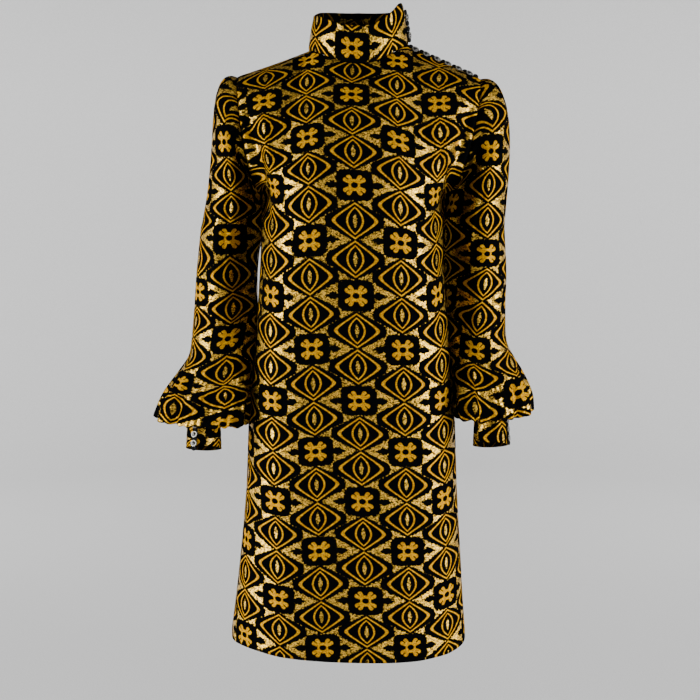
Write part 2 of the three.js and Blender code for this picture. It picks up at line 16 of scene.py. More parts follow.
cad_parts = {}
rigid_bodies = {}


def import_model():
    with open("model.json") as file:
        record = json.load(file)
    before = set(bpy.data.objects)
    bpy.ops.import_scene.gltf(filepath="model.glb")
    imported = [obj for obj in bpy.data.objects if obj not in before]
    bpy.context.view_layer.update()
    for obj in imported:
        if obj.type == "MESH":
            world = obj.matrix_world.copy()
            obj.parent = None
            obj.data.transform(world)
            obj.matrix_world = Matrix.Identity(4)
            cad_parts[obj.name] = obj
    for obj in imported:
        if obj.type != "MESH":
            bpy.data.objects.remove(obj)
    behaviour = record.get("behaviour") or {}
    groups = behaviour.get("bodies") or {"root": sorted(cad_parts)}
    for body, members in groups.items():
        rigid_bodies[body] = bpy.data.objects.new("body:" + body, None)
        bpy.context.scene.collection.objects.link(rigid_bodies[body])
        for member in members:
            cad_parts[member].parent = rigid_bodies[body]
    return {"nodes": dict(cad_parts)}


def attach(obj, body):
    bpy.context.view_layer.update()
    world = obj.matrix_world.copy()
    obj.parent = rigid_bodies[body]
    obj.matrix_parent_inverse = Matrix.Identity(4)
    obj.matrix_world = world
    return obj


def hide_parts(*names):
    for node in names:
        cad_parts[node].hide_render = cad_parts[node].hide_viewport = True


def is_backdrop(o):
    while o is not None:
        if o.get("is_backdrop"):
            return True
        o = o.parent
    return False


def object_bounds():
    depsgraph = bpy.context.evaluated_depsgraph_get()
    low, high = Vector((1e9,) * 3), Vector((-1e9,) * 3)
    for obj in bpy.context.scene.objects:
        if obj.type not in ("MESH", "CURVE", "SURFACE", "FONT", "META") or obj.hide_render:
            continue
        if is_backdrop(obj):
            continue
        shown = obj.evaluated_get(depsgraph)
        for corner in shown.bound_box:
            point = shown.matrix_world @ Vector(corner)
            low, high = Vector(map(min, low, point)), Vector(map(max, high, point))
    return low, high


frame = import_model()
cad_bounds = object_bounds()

print("nodes:", len(frame["nodes"]))

# %% [markdown]
# The camera looks slightly down on the dress from 1.8 m, at the level of the chest. A long lens
# keeps the hem and the shoulders in proportion, as in a catalogue picture of clothing.

# %% Camera
MM = 0.001
CAMERA = {"place": (-0.009, -1.785, -0.2202), "pitch": 7.4, "lens": 58.94}


def make_camera():
    data = bpy.data.cameras.new("camera")
    data.sensor_width = 36
    data.lens = CAMERA["lens"]
    camera = bpy.data.objects.new("camera", data)
    camera.location = CAMERA["place"]
    camera.rotation_euler = (np.radians(90 - CAMERA["pitch"]), 0, 0)
    bpy.context.scene.collection.objects.link(camera)
    bpy.context.scene.camera = camera
    return camera


print("camera lens:", make_camera().data.lens)

# %% [markdown]
# Metal thread only shows its glitter if something bright stands beside the cloth. Two tall soft
# boxes light the flanks and a weaker one stands high in front. Two more light the wall behind
# the dress, so that it stands against an even pale ground while its folds stay deep.

# %% Light
DRESS_MIDDLE = (0, 0, -0.42)
FRONT_LIGHT = {"place": (0.2, -2.4, 1.5), "size": (1.6, 1.0), "power": 6, "aim": DRESS_MIDDLE}
PAIRS = {   # these stand on both sides, given for the wearer's left
    "side": {"place": (2.1, -0.8, -0.3), "size": (0.7, 2.0), "power": 98, "aim": DRESS_MIDDLE},
    "wall": {"place": (1.9, 1.6, 0.6), "size": (1.5, 1.5), "power": 49, "aim": (0.8, 4.6, -0.6)},
}


def make_light(name, place, size, power, aim, sign=1):
    data = bpy.data.lights.new(name, "AREA")
    data.shape = "RECTANGLE"
    data.size, data.size_y = size
    data.energy = power
    light = bpy.data.objects.new(name, data)
    place, aim = (Vector((sign * x, y, z)) for x, y, z in (place, aim))
    light.location = place
    light.rotation_euler = (aim - place).to_track_quat("-Z", "Y").to_euler()
    light.visible_camera = False
    bpy.context.scene.collection.objects.link(light)


make_light("front_high", **FRONT_LIGHT)
for name, facts in PAIRS.items():
    make_light(f"{name}_right", sign=-1, **facts)
    make_light(f"{name}_left", **facts)

world = bpy.data.worlds.new("studio")
bpy.context.scene.world = world
world.use_nodes = True
backlight = world.node_tree.nodes["Background"]
backlight.inputs["Color"].default_value = (0.15, 0.15, 0.15, 1)
backlight.inputs["Strength"].default_value = 1.0
print("lights:", 1 + 2 * len(PAIRS))

# %% [markdown]
# A shader is built from small sums. Writing them node by node hides the idea, so a number in a
# shader tree gets its own small class here: two of them can be added or multiplied like plain
# numbers, and each sum leaves one Math node behind.

# %% Sums in a shader tree
class Wire:
    """A number that runs through a shader tree."""

    def __init__(self, tree, socket):
        self.tree, self.socket = tree, socket

    def sum(self, operation, *others, clamp=False):
        node = self.tree.nodes.new("ShaderNodeMath")
        node.operation, node.use_clamp = operation, clamp
        for slot, value in zip(node.inputs, (self, *others)):
            if isinstance(value, Wire):
                self.tree.links.new(value.socket, slot)
            else:
                slot.default_value = value
        return Wire(self.tree, node.outputs[0])

    def __add__(self, other): return self.sum("ADD", other)
    def __sub__(self, other): return self.sum("SUBTRACT", other)
    def __rsub__(self, other): return (self * -1).sum("ADD", other)
    def __mul__(self, other): return self.sum("MULTIPLY", other)
    def __truediv__(self, other): return self.sum("DIVIDE", other)
    def __abs__(self): return self.sum("ABSOLUTE")
    def __round__(self): return self.sum("ROUND")
    def power(self, other): return self.sum("POWER", other)
    def root(self): return self.sum("SQRT")
    def least(self, other): return self.sum("MINIMUM", other)
    def most(self, other): return self.sum("MAXIMUM", other)
    def unit(self): return self.sum("ADD", 0.0, clamp=True)
    def inside(self, edge=0.22): return (0.5 - self / (2 * edge)).unit()


def reach(x, y):
    return (x * x + y * y).root()


def group(name, inputs, outputs):
    """An empty shader group; inputs and outputs map names to socket kinds."""
    tree = bpy.data.node_groups.new(name, "ShaderNodeTree")
    for label, kind in inputs.items():
        tree.interface.new_socket(label, in_out="INPUT", socket_type=f"NodeSocket{kind}")
    for label, kind in outputs.items():
        tree.interface.new_socket(label, in_out="OUTPUT", socket_type=f"NodeSocket{kind}")
    start, end = tree.nodes.new("NodeGroupInput"), tree.nodes.new("NodeGroupOutput")
    return tree, start, end


def use(tree, name, **values):
    """Places a group in a tree and feeds its inputs by name."""
    node = tree.nodes.new("ShaderNodeGroup")
    node.node_tree = bpy.data.node_groups[name]
    for label, value in values.items():
        if isinstance(value, Wire):
            tree.links.new(value.socket, node.inputs[label])
        else:
            node.inputs[label].default_value = value
    return node


print("shader sums ready")

# %% [markdown]
# The brocade is a small all-over repeat: flowers with four notched petals stand in rows, and
# between them lie pointed eyes made of satin lines. Every part of it is symmetrical, so the
# cloth is folded in thought into one quarter of a repeat, and each motif is drawn there once as
# a distance: below zero is inside the motif, above zero outside. All lengths are millimetres.

# %% Flower motif
LOBES = [  # from the heart of the flower to the tip of each petal half
    {"start": (4.8, 4.6), "tip": (8.1, 11.2), "radius": 3.7},
    {"start": (5.6, 4.6), "tip": (13.0, 7.6), "radius": 3.4},
]
NOTCH = {"start": (9.2, 8.3), "tip": (15.5, 14.0), "radius": 0.7}


DISC = {"squeeze": 1.08, "radius": 8.8}
HEART = {"squeeze": (0.9, 1.08), "radius": 4.5}
SURROUND = {"half_width": 27.0, "half_height": 22.8, "power": 5, "size": 24}
TAB = {"half_height": 5.3, "swells_from": 33, "swell": 0.2, "narrows_from": 35, "narrow": 0.55}


def capsule(x, y, start, tip, radius):
    dx, dy = tip[0] - start[0], tip[1] - start[1]
    length2 = dx * dx + dy * dy
    along = (((x - start[0]) * dx + (y - start[1]) * dy) / length2).unit()
    return reach(x - start[0] - along * dx, y - start[1] - along * dy) - radius


tree, start, end = group(
    "Flower motif", {"X": "Float", "Y": "Float"}, {"Petals": "Float", "Surround": "Float"}
)
x, y = Wire(tree, start.outputs["X"]), Wire(tree, start.outputs["Y"])
petals = reach(x * DISC["squeeze"], y) - DISC["radius"]
for lobe in LOBES:
    petals = petals.least(capsule(x, y, **lobe))
heart = HEART["radius"] - reach(x * HEART["squeeze"][0], y * HEART["squeeze"][1])
petals = petals.most(heart).most(capsule(x, y, **NOTCH) * -1)
power = SURROUND["power"]
blob = (x / SURROUND["half_width"]).power(power) + (y / SURROUND["half_height"]).power(power)
blob = blob.power(1 / power) * SURROUND["size"] - SURROUND["size"]
swell = (TAB["swells_from"] - x) * TAB["swell"]
tab = (y - TAB["half_height"] + swell.most((x - TAB["narrows_from"]) * TAB["narrow"])) * 0.9
tree.links.new(petals.socket, end.inputs["Petals"])
tree.links.new(blob.least(tab).socket, end.inputs["Surround"])
print("flower motif nodes:", len(tree.nodes))

# %% [markdown]
# The eye is a wide diamond of satin line with swollen side tips. Inside it stands a pointed lens,
# and the lens has a slim core of metal thread. A black band keeps the metal ground away from it.

# %% Eye motif
EYE = {"half_width": 40.0, "half_height": 26.8, "soft_tip": 3.5, "soft_hole": 5.0,
       "line": 0.856, "steepness": 22}
LENS = {"half_width": 13.6, "half_height": 20.3, "line": 4.4}
CORE = {"half_width": 2.9, "half_height": 9.8}
BAND = {"half_height": 29.4, "slope": 0.515, "half_width": 43.5, "tip_slope": 0.2}

tree, start, end = group(
    "Eye motif", {"X": "Float", "Y": "Float"},
    {"Lines": "Float", "Core": "Float", "Band": "Float"},
)
x, y = Wire(tree, start.outputs["X"]), abs(Wire(tree, start.outputs["Y"]))


def diamond(soft, size):
    """A diamond with rounded side tips, as a distance in millimetres."""
    rise = (y * y + soft ** 2).root() / EYE["half_height"]
    return (x / EYE["half_width"] + rise - size) * EYE["steepness"]


outer, hole = diamond(EYE["soft_tip"], 1), diamond(EYE["soft_hole"], EYE["line"])
bow = 1 - (y / LENS["half_height"]).power(2)
lens = (x - bow * LENS["half_width"]) * 0.8
lens_hole = (x - bow * LENS["half_width"] + LENS["line"]) * 0.8
lines = outer.most(hole * -1).least(lens.most(lens_hole * -1))
core = x - (1 - (y / CORE["half_height"]).power(2)) * CORE["half_width"]
band = (y - BAND["half_height"] + x * BAND["slope"]).most(
    x - BAND["half_width"] + y * BAND["tip_slope"]) * 0.885
tree.links.new(lines.socket, end.inputs["Lines"])
tree.links.new(core.socket, end.inputs["Core"])
tree.links.new(band.socket, end.inputs["Band"])
print("eye motif nodes:", len(tree.nodes))

# %% [markdown]
# The brocade group folds the cloth into a quarter repeat, asks both motifs for their distances,
# and gives back four things: where the satin lines are, where the metal thread is, a speckle
# of painted glints and sheen, and the height for the bump. Edges wobble a little, as weaving does.

# %% Brocade group
REPEAT = {"width": 134.0, "height": 154.0, "eye": 50.5}
WEAVE = {
    "wobble": 1.1, "wobble_across": 420, "wobble_along": 390,    # of the threads, in millimetres
    "edge": 270, "edge_reach": 16, "edge_start": 0.3,            # of the rim of the metal ground
    "strips": 620, "strip_squeeze": 1.5, "patches": 260,         # of the flat metal strips
    "ribs": 9.0, "rib_height": 0.08,
}

tree, start, end = group(
    "Brocade", {"Cloth": "Vector", "Ragged": "Float"},
    {"Satin": "Float", "Metal": "Float", "Painted glints": "Float", "Height": "Float"},
)


def noise(tree, vector, scale, detail, stretch=(1, 1, 1)):
    """Noise round zero, on stretched coordinates."""
    mapping = tree.nodes.new("ShaderNodeMapping")
    mapping.inputs["Scale"].default_value = stretch
    texture = tree.nodes.new("ShaderNodeTexNoise")
    texture.inputs["Scale"].default_value = scale
    texture.inputs["Detail"].default_value = detail
    tree.links.new(vector, mapping.inputs["Vector"])
    tree.links.new(mapping.outputs[0], texture.inputs["Vector"])
    return Wire(tree, texture.outputs["Fac"]) - 0.5


cloth = start.outputs["Cloth"]
ragged = Wire(tree, start.outputs["Ragged"])
split = tree.nodes.new("ShaderNodeSeparateXYZ")
tree.links.new(cloth, split.inputs[0])
wobble_across = noise(tree, cloth, WEAVE["wobble_across"], 1) * WEAVE["wobble"]
wobble_along = noise(tree, cloth, WEAVE["wobble_along"], 1, (1, 1.3, 1)) * WEAVE["wobble"]
across = Wire(tree, split.outputs["X"]) * 1000 + wobble_across
along = Wire(tree, split.outputs["Y"]) * 1000 + wobble_along
turn_x, turn_y = across / REPEAT["width"], along / REPEAT["height"]
near_x = abs(turn_x - round(turn_x)) * REPEAT["width"]
near_y = abs(turn_y - round(turn_y)) * REPEAT["height"]
far_x, far_y = REPEAT["width"] / 2 - near_x, REPEAT["height"] / 2 - near_y

flower_a = use(tree, "Flower motif", X=near_x, Y=near_y)
flower_b = use(tree, "Flower motif", X=far_x, Y=far_y)
eye_a = use(tree, "Eye motif", X=near_x, Y=near_y - REPEAT["eye"])
eye_b = use(tree, "Eye motif", X=far_x, Y=far_y - REPEAT["eye"])


def nearest(label, one, two):
    return Wire(tree, one.outputs[label]).least(Wire(tree, two.outputs[label]))


rough_edge = noise(tree, cloth, WEAVE["edge"], 3) * ragged * WEAVE["edge_reach"] + WEAVE["edge_start"]
satin = (nearest("Petals", flower_a, flower_b) + 0.2).least(
    nearest("Lines", eye_a, eye_b) + 0.75).inside(0.3)
ground = nearest("Surround", flower_a, flower_b).least(nearest("Band", eye_a, eye_b)) * -1
core = nearest("Core", eye_a, eye_b) + rough_edge * 0.5
metal = (ground + rough_edge).inside(0.5).most(core.inside(0.5))
# The speckle: each flat strip gets a random brightness, and broad patches vary it more. The material
# mixes lit and shaded thread colours by it as painted glints and painted sheen; it also raises the metal
# strips in the bump, which is real relief.
cells = tree.nodes.new("ShaderNodeTexVoronoi")
cells.inputs["Scale"].default_value = WEAVE["strips"]
squeeze = tree.nodes.new("ShaderNodeMapping")
squeeze.inputs["Scale"].default_value = (1.0, WEAVE["strip_squeeze"], 1.0)
tree.links.new(cloth, squeeze.inputs["Vector"])
tree.links.new(squeeze.outputs[0], cells.inputs["Vector"])
shade = tree.nodes.new("ShaderNodeSeparateXYZ")
tree.links.new(cells.outputs["Color"], shade.inputs[0])
patches = (noise(tree, cloth, WEAVE["patches"], 2) + 0.1) * 1.6
speckle = (Wire(tree, shade.outputs["X"]) * 1.5 - 0.5 + patches).unit()
rib = (along * WEAVE["ribs"]).sum("SINE") * WEAVE["rib_height"]
height = satin * 0.75 + metal * (speckle * 0.8 + 0.25) + rib
for label, wire in {"Satin": satin, "Metal": metal, "Painted glints": speckle, "Height": height}.items():
    tree.links.new(wire.socket, end.inputs[label])
print("brocade nodes:", len(tree.nodes))

# %% [markdown]
# The cloth has three threads: a matt black ground, a yellow satin thread that shines softly, and
# a metal thread of tiny flat strips that shines beside the lights and goes dull where it faces away.
# Each strip of both threads is also painted lighter or darker at random: painted glints and sheen.

# %% Brocade cloth
# Each thread's own colour is given twice, as a shaded and a lit copy; the speckle mixes the two, which
# paints shade, glints and sheen on the strips.
BROCADE = {
    "ground": (0.0014, 0.0015, 0.0017, 1),
    "satin_shaded": (0.30, 0.125, 0.0008, 1),
    "satin_lit": (0.58, 0.30, 0.001, 1),
    "metal_shaded": (0.05, 0.024, 0.004, 1),
    "metal_lit": (1.0, 0.60, 0.065, 1),
}


def mix(tree, factor, one, two):
    """Mixes two colours; each is a colour or the socket of one."""
    node = tree.nodes.new("ShaderNodeMix")
    node.data_type = "RGBA"
    tree.links.new(factor.socket, node.inputs["Factor"])
    for label, value in (("A", one), ("B", two)):
        slot = [s for s in node.inputs if s.name == label and s.type == "RGBA"][0]
        if isinstance(value, tuple):
            slot.default_value = value
        else:
            tree.links.new(value, slot)
    return [s for s in node.outputs if s.type == "RGBA"][0]


def brocade(name, move=(0, 0), strength=1.0):
    """Brocade on a piece's own cloth map, in metres; strength dims the reverse of the cloth."""
    material = bpy.data.materials.new(name)
    material.use_nodes = True
    tree = material.node_tree
    shader = tree.nodes["Principled BSDF"]
    spread = tree.nodes.new("ShaderNodeUVMap")
    spread.uv_map = "Cloth"
    place = tree.nodes.new("ShaderNodeMapping")
    place.inputs["Location"].default_value = (move[0], move[1], 0)
    tree.links.new(spread.outputs[0], place.inputs["Vector"])
    woven = use(tree, "Brocade", Cloth=Wire(tree, place.outputs[0]), Ragged=0.5)
    satin, metal, speckle, height = (Wire(tree, woven.outputs[i]) for i in range(4))
    satin, metal = satin * strength, metal * strength
    # Painted sheen on the satin and painted glints on the metal: the speckle mixes shaded and lit copies
    # of each thread's colour.
    sheen = mix(tree, speckle, BROCADE["satin_shaded"], BROCADE["satin_lit"])
    glitter = mix(tree, speckle, BROCADE["metal_shaded"], BROCADE["metal_lit"])
    colour = mix(tree, satin, mix(tree, metal, BROCADE["ground"], glitter), sheen)
    tree.links.new(colour, shader.inputs["Base Color"])
    tree.links.new((satin * 0.2).most(metal * 0.92).socket, shader.inputs["Metallic"])
    tree.links.new((0.72 - satin * 0.24 - metal * 0.36).socket, shader.inputs["Roughness"])
    bump = tree.nodes.new("ShaderNodeBump")
    bump.inputs["Strength"].default_value = 0.5
    bump.inputs["Distance"].default_value = 0.0004
    tree.links.new(height.socket, bump.inputs["Height"])
    tree.links.new(bump.outputs[0], shader.inputs["Normal"])
    shader.inputs["Specular IOR Level"].default_value = 0.0
    return material


reverse_cloth = brocade("brocade_reverse", strength=0.16)
print("materials:", len(bpy.data.materials))

# %% [markdown]
# Panels of a garment are smooth surfaces with known cross-sections. A short table gives each
# section at a few heights, and a smooth curve is read through it, for many points at once.

# %% Reading a table
def hermite(a, b, slope_a, slope_b, t):
    t2, t3 = t * t, t * t * t
    return ((2 * t3 - 3 * t2 + 1) * a + (t3 - 2 * t2 + t) * slope_a
            + (3 * t2 - 2 * t3) * b + (t3 - t2) * slope_b)


def read(table, key, column, at):
    keys, values = np.array(table[key], float), np.array(table[column], float)
    if keys[0] > keys[-1]:
        keys, values = keys[::-1], values[::-1]
    slopes = np.empty_like(values)
    slopes[1:-1] = (values[2:] - values[:-2]) / (keys[2:] - keys[:-2])
    slopes[0] = (values[1] - values[0]) / (keys[1] - keys[0])
    slopes[-1] = (values[-1] - values[-2]) / (keys[-1] - keys[-2])
    at = np.clip(np.asarray(at, float), keys[0], keys[-1])
    i = np.clip(np.searchsorted(keys, at, side="right") - 1, 0, len(keys) - 2)
    span = keys[i + 1] - keys[i]
    return hermite(values[i], values[i + 1], slopes[i] * span, slopes[i + 1] * span,
                   (at - keys[i]) / span)


def lerp(a, b, t):
    return a + (b - a) * t


def smooth(value, low, high):
    t = np.clip((value - low) / (high - low), 0, 1)
    return t * t * (3 - 2 * t)


def signed_power(value, power):
    return np.sign(value) * np.abs(value) ** power


def points(x, y, z):
    return np.stack(np.broadcast_arrays(x, y, z), axis=-1).astype(float)


print("table reading ready")

# %% [markdown]
# The body is cut as one front and one back panel. From the hem to the underarm it is a boxy
# oval, and a few soft flutes fall down the skirt from the hip, where the cloth has room to swing.

# %% Body sections
HEM_Z, UNDERARM_Z = -908, -206
BODY = {
    "z": [-908, -850, -770, -670, -530, -420, -340, -275, -206],
    "half_width": [187.5, 181.5, 174.5, 166.5, 160, 150, 143, 140, 139],
    "front": [131, 129, 126, 123, 120, 119, 122, 126, 122],
    "back": [119, 116, 113, 109, 103, 97, 93, 93, 96],
    "centre_x": [-11.5, -10, -8, -6.5, -6, -5, -6, -5.5, -4],
    "power": [2.35, 2.4, 2.5, 2.7, 2.9, 2.9, 2.75, 2.5, 2.35],  # 2 is an ellipse, more is boxier
}
SKIRT_FLUTES = {
    "angle": [22, 47, 134, 157, 203, 238, 292, 334],
    "width": [9, 10, 11, 9, 10, 13, 14, 10],
    "depth": [5.0, -3.5, -3.0, 5.5, 4.5, -4.0, -3.5, 5.0],
    "top": [-560, -640, -600, -520, -560, -620, -600, -540],
}
HEM_LINE = {
    "angle": [0, 14, 38, 70, 100, 140, 163, 180, 225, 270, 320, 360],
    "lift": [9, 5, -8, -6, -2, 1, 7, 10, 2, 0, 1, 9],
}


def body_points(angle, z):
    """Angle 0 is the wearer's left seam, 90 the centre front; z in millimetres."""
    a = np.radians(angle)
    depth = np.where(np.sin(a) >= 0, read(BODY, "z", "front", z), read(BODY, "z", "back", z))
    grow = np.zeros(np.broadcast(angle, z).shape)
    for middle, width, deep, top in zip(*SKIRT_FLUTES.values()):
        near = (angle - middle) / width
        grow = grow + deep * np.exp(-near * near) * smooth(-z, -top, -HEM_Z)
    power = 2 / read(BODY, "z", "power", z)
    x = (read(BODY, "z", "centre_x", z)
         + (read(BODY, "z", "half_width", z) + grow) * signed_power(np.cos(a), power))
    return points(x, -(depth + grow) * signed_power(np.sin(a), power), z)


print("hem is", round(float(np.ptp(body_points(np.arange(0, 360, 5.0), HEM_Z)[:, 0]))), "mm wide")

# %% [markdown]
# Above the underarm the panel leaves the armhole, rises over the chest and ends at the shoulder
# seams and the neckline. Each column of the grid is one smooth curve from that top edge down.

# %% Yoke
NECK = {"x": 4, "y": -3, "half_width": 76, "front": 61, "back": 57}
NECK_HEIGHT = {"front": -20, "right": 5, "back": 6, "left": 14}
SIDES = {
    "right": {"sign": -1, "shoulder": (-181, 3, -32), "dip": (47, 50)},
    "left": {"sign": 1, "shoulder": (190, 3, -35), "dip": (47, 50)},
}
YOKE = {"chest": (55, 92), "shoulder_blade": (60, 70), "collarbone": 55, "collarbone_width": 2.5,
        "shoulder_fall": 14, "neck_fall": 140, "fall_columns": (-4, 5), "run_out": (6, 9),
        "armhole_share": 0.34}
SHOULDER_SAG, ARMHOLE_POWER = 1.0, 0.42
COLUMNS, SHOULDER_COLUMNS = 26, 6


def neck_points(angle):
    """Angle 0 is the centre front, positive towards the wearer's left."""
    a = np.radians(angle)
    level = lerp(NECK_HEIGHT["back"], NECK_HEIGHT["front"], ((1 + np.cos(a)) / 2) ** 1.3)
    side = np.where(np.sin(a) > 0, NECK_HEIGHT["left"], NECK_HEIGHT["right"])
    depth = np.where(np.cos(a) > 0, NECK["front"], NECK["back"])
    return points(NECK["x"] + NECK["half_width"] * np.sin(a), NECK["y"] - depth * np.cos(a),
                  lerp(level, side, np.sin(a) ** 2))


def armhole_points(side, turn):
    """Turn 0 is the shoulder, 90 the front and 180 the underarm."""
    facts, t = SIDES[side], np.radians(turn)
    under = body_points(np.array(0.0 if facts["sign"] > 0 else 180.0), np.array(UNDERARM_Z))
    high = (1 + np.cos(t)) / 2
    dip = np.where(np.sin(t) > 0, *facts["dip"])
    top = facts["shoulder"]
    return points(lerp(under[0], top[0], high ** ARMHOLE_POWER),
                  lerp(under[1], top[1], high) - dip * np.sin(t),
                  lerp(UNDERARM_Z, top[2], high))


def shoulder_seam(side, t):
    """From the shoulder point, t = 0, to the neck, t = 1."""
    facts = SIDES[side]
    neck = neck_points(np.array(90.0 * facts["sign"]))
    line = lerp(np.array(facts["shoulder"], float), neck, np.asarray(t, float)[..., None])
    line[..., 2] -= SHOULDER_SAG * np.sin(np.pi * t)
    return line


def top_edge(column, facing):
    sweep = (column - SHOULDER_COLUMNS) / (COLUMNS - 2 * SHOULDER_COLUMNS)
    edge = neck_points(-90 + facing * 180 * sweep)
    right = shoulder_seam("right", np.clip(column / SHOULDER_COLUMNS, 0, 1))
    left = shoulder_seam("left", np.clip((COLUMNS - column) / SHOULDER_COLUMNS, 0, 1))
    edge = np.where((column < SHOULDER_COLUMNS)[..., None], right, edge)
    return np.where((column > COLUMNS - SHOULDER_COLUMNS)[..., None], left, edge)


def yoke_curve(column, down, facing):
    angle = np.mod(facing * (180 - 180 * column / COLUMNS), 360)
    bottom = body_points(angle, np.array(float(UNDERARM_Z)))
    below = body_points(angle, np.array(UNDERARM_Z - 20.0))
    middle = np.sin(np.pi * column / COLUMNS)
    inside = np.minimum(column, COLUMNS - column) - SHOULDER_COLUMNS
    fall = lerp(YOKE["shoulder_fall"], YOKE["neck_fall"], smooth(inside, *YOKE["fall_columns"]))
    side_reach, middle_reach = YOKE["chest"] if facing > 0 else YOKE["shoulder_blade"]
    forward = lerp(side_reach, middle_reach, middle)
    forward = forward + YOKE["collarbone"] * np.exp(-((inside / YOKE["collarbone_width"]) ** 2))
    slope_top = points(0 * column, -facing * forward, -fall)
    slope_bottom = (below - bottom) * lerp(*YOKE["run_out"], middle)[..., None]
    return hermite(top_edge(column, facing), bottom, slope_top, slope_bottom, down[..., None])


def yoke_points(column, down, facing):
    u = column / COLUMNS
    turn = 180 * down if facing > 0 else 360 - 180 * down
    share = YOKE["armhole_share"]
    hold = smooth(share - np.minimum(u, 1 - u), 0, share)[..., None]
    pulls = [armhole_points(side, turn) - yoke_curve(np.full_like(column, edge), down, facing)
             for side, edge in (("right", 0), ("left", COLUMNS))]
    pull = np.where((u < 0.5)[..., None], *pulls)
    return yoke_curve(column, down, facing) + pull * hold


print("shoulder seam starts at", shoulder_seam("left", np.array(0.0)))

# %% [markdown]
# Creases are shallow and uneven, and each is listed one by one: a line between two points on the
# front view, with a width and a depth. A negative depth is a trough and a positive one a ridge.

# %% Folds
FRONT_FOLDS = {
    "x0": [-162, -138, -132, -120, 170, 136, 132, 118, -96, 104, -60, 78],
    "z0": [-96, -92, -228, -200, -92, -128, -215, -230, -420, -400, -560, -600],
    "x1": [-136, -124, -108, -84, 140, 128, 108, 90, -112, 118, -70, 92],
    "z1": [-238, -178, -252, -290, -232, -200, -262, -280, -560, -540, -760, -800],
    "width": [12, 6, 6, 9, 12, 6, 7, 8, 12, 12, 15, 14],
    "depth": [-13, 3.2, 2.2, -2.2, -12, 3.0, -2.4, 2.0, -1.8, -1.6, 1.6, -1.6],
}
BACK_FOLDS = {
    "x0": [-118, -132, 120, 132, -70, 66, -20, 84],
    "z0": [-130, -215, -140, -220, -380, -400, -330, -560],
    "x1": [-92, -96, 96, 98, -88, 84, 34, 100],
    "z1": [-240, -265, -246, -270, -560, -590, -352, -780],
    "width": [9, 7, 9, 7, 14, 14, 10, 14],
    "depth": [-2.6, 2.0, -2.8, 2.0, -2.0, -1.9, -1.8, 1.6],
}


def crease(a, b, folds):
    """Displacement in millimetres at the places (a, b) of a view."""
    moved = np.zeros(a.shape)
    for x0, z0, x1, z1, width, depth in zip(*folds.values()):
        run = np.array([x1 - x0, z1 - z0], float)
        along = ((a - x0) * run[0] + (b - z0) * run[1]) / (run @ run)
        t = np.clip(along, 0, 1)
        distance2 = (a - x0 - t * run[0]) ** 2 + (b - z0 - t * run[1]) ** 2
        fade = 0.45 + 0.55 * np.sin(np.pi * np.clip(t, 0.02, 0.98))
        moved += depth * fade * np.exp(-distance2 / width ** 2)
    return moved


def normals(grid, closed=False):
    """Outward direction at each point of a grid of rows and columns."""
    if closed:
        padded = np.concatenate([grid[:, -2:-1], grid, grid[:, 1:2]], axis=1)
        across = np.gradient(padded, axis=1)[:, 1:-1]
    else:
        across = np.gradient(grid, axis=1)
    normal = np.cross(across, np.gradient(grid, axis=0))
    return normal / np.maximum(np.linalg.norm(normal, axis=-1, keepdims=True), 1e-9)


print("folds:", len(FRONT_FOLDS["x0"]) + len(BACK_FOLDS["x0"]))

# %% [markdown]
# A cloth piece starts as a flat bmesh grid, one vertex for each place on the cut panel. Each
# vertex then goes to its point on the form, and the flat cloth keeps its own map in metres, so
# the weave runs with the thread. Solidify gives the cloth its thickness, inwards.

# %% Cloth piece
CLOTH_THICKNESS, BAND_THICKNESS, COLLAR_THICKNESS = 0.0011, 0.0016, 0.0018


def new_object(name, bm, materials):
    """Puts a finished bmesh into the scene."""
    mesh = bpy.data.meshes.new(name)
    bm.to_mesh(mesh)
    bm.free()
    for material in materials:
        mesh.materials.append(material)
    made = bpy.data.objects.new(name, mesh)
    bpy.context.scene.collection.objects.link(made)
    return made


def cloth_piece(name, grid, cloth_map, material, thickness=CLOTH_THICKNESS, flip=False):
    """grid and cloth_map are arrays of rows and columns, in millimetres."""
    if flip:
        grid, cloth_map = grid[:, ::-1], cloth_map[:, ::-1]
    rows, columns = grid.shape[0] - 1, grid.shape[1] - 1
    bm = bmesh.new()
    bmesh.ops.create_grid(bm, x_segments=columns, y_segments=rows, size=1)
    layer = bm.loops.layers.uv.new("Cloth")
    for vert in bm.verts:
        column = round((vert.co.x + 1) / 2 * columns)
        row = round((vert.co.y + 1) / 2 * rows)
        vert.co = grid[row, column] * MM
        for loop in vert.link_loops:
            loop[layer].uv = cloth_map[row, column] * MM
    piece = new_object(name, bm, [material, reverse_cloth])
    piece.data.shade_smooth()
    wall = piece.modifiers.new("thickness", "SOLIDIFY")
    wall.thickness = thickness
    wall.offset = -1
    wall.material_offset = 1
    wall.use_even_offset = False
    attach(piece, "root")
    print(name, "faces:", len(piece.data.polygons))
    return piece


def arc(grid, axis, parts=(0, 1, 2)):
    """Length along the rows or columns of a grid, from its first line."""
    steps = np.diff(grid[..., parts], axis=axis)
    length = np.cumsum(np.linalg.norm(steps, axis=-1), axis=axis)
    start = np.zeros_like(np.take(length, [0], axis=axis))
    return np.concatenate([start, length], axis=axis)


print("cloth thickness:", CLOTH_THICKNESS)

# %% [markdown]
# The front panel carries the centre column of flowers. The thread runs straight down it, with
# the slight drift to the wearer's left that a dress shows when it hangs a little askew.

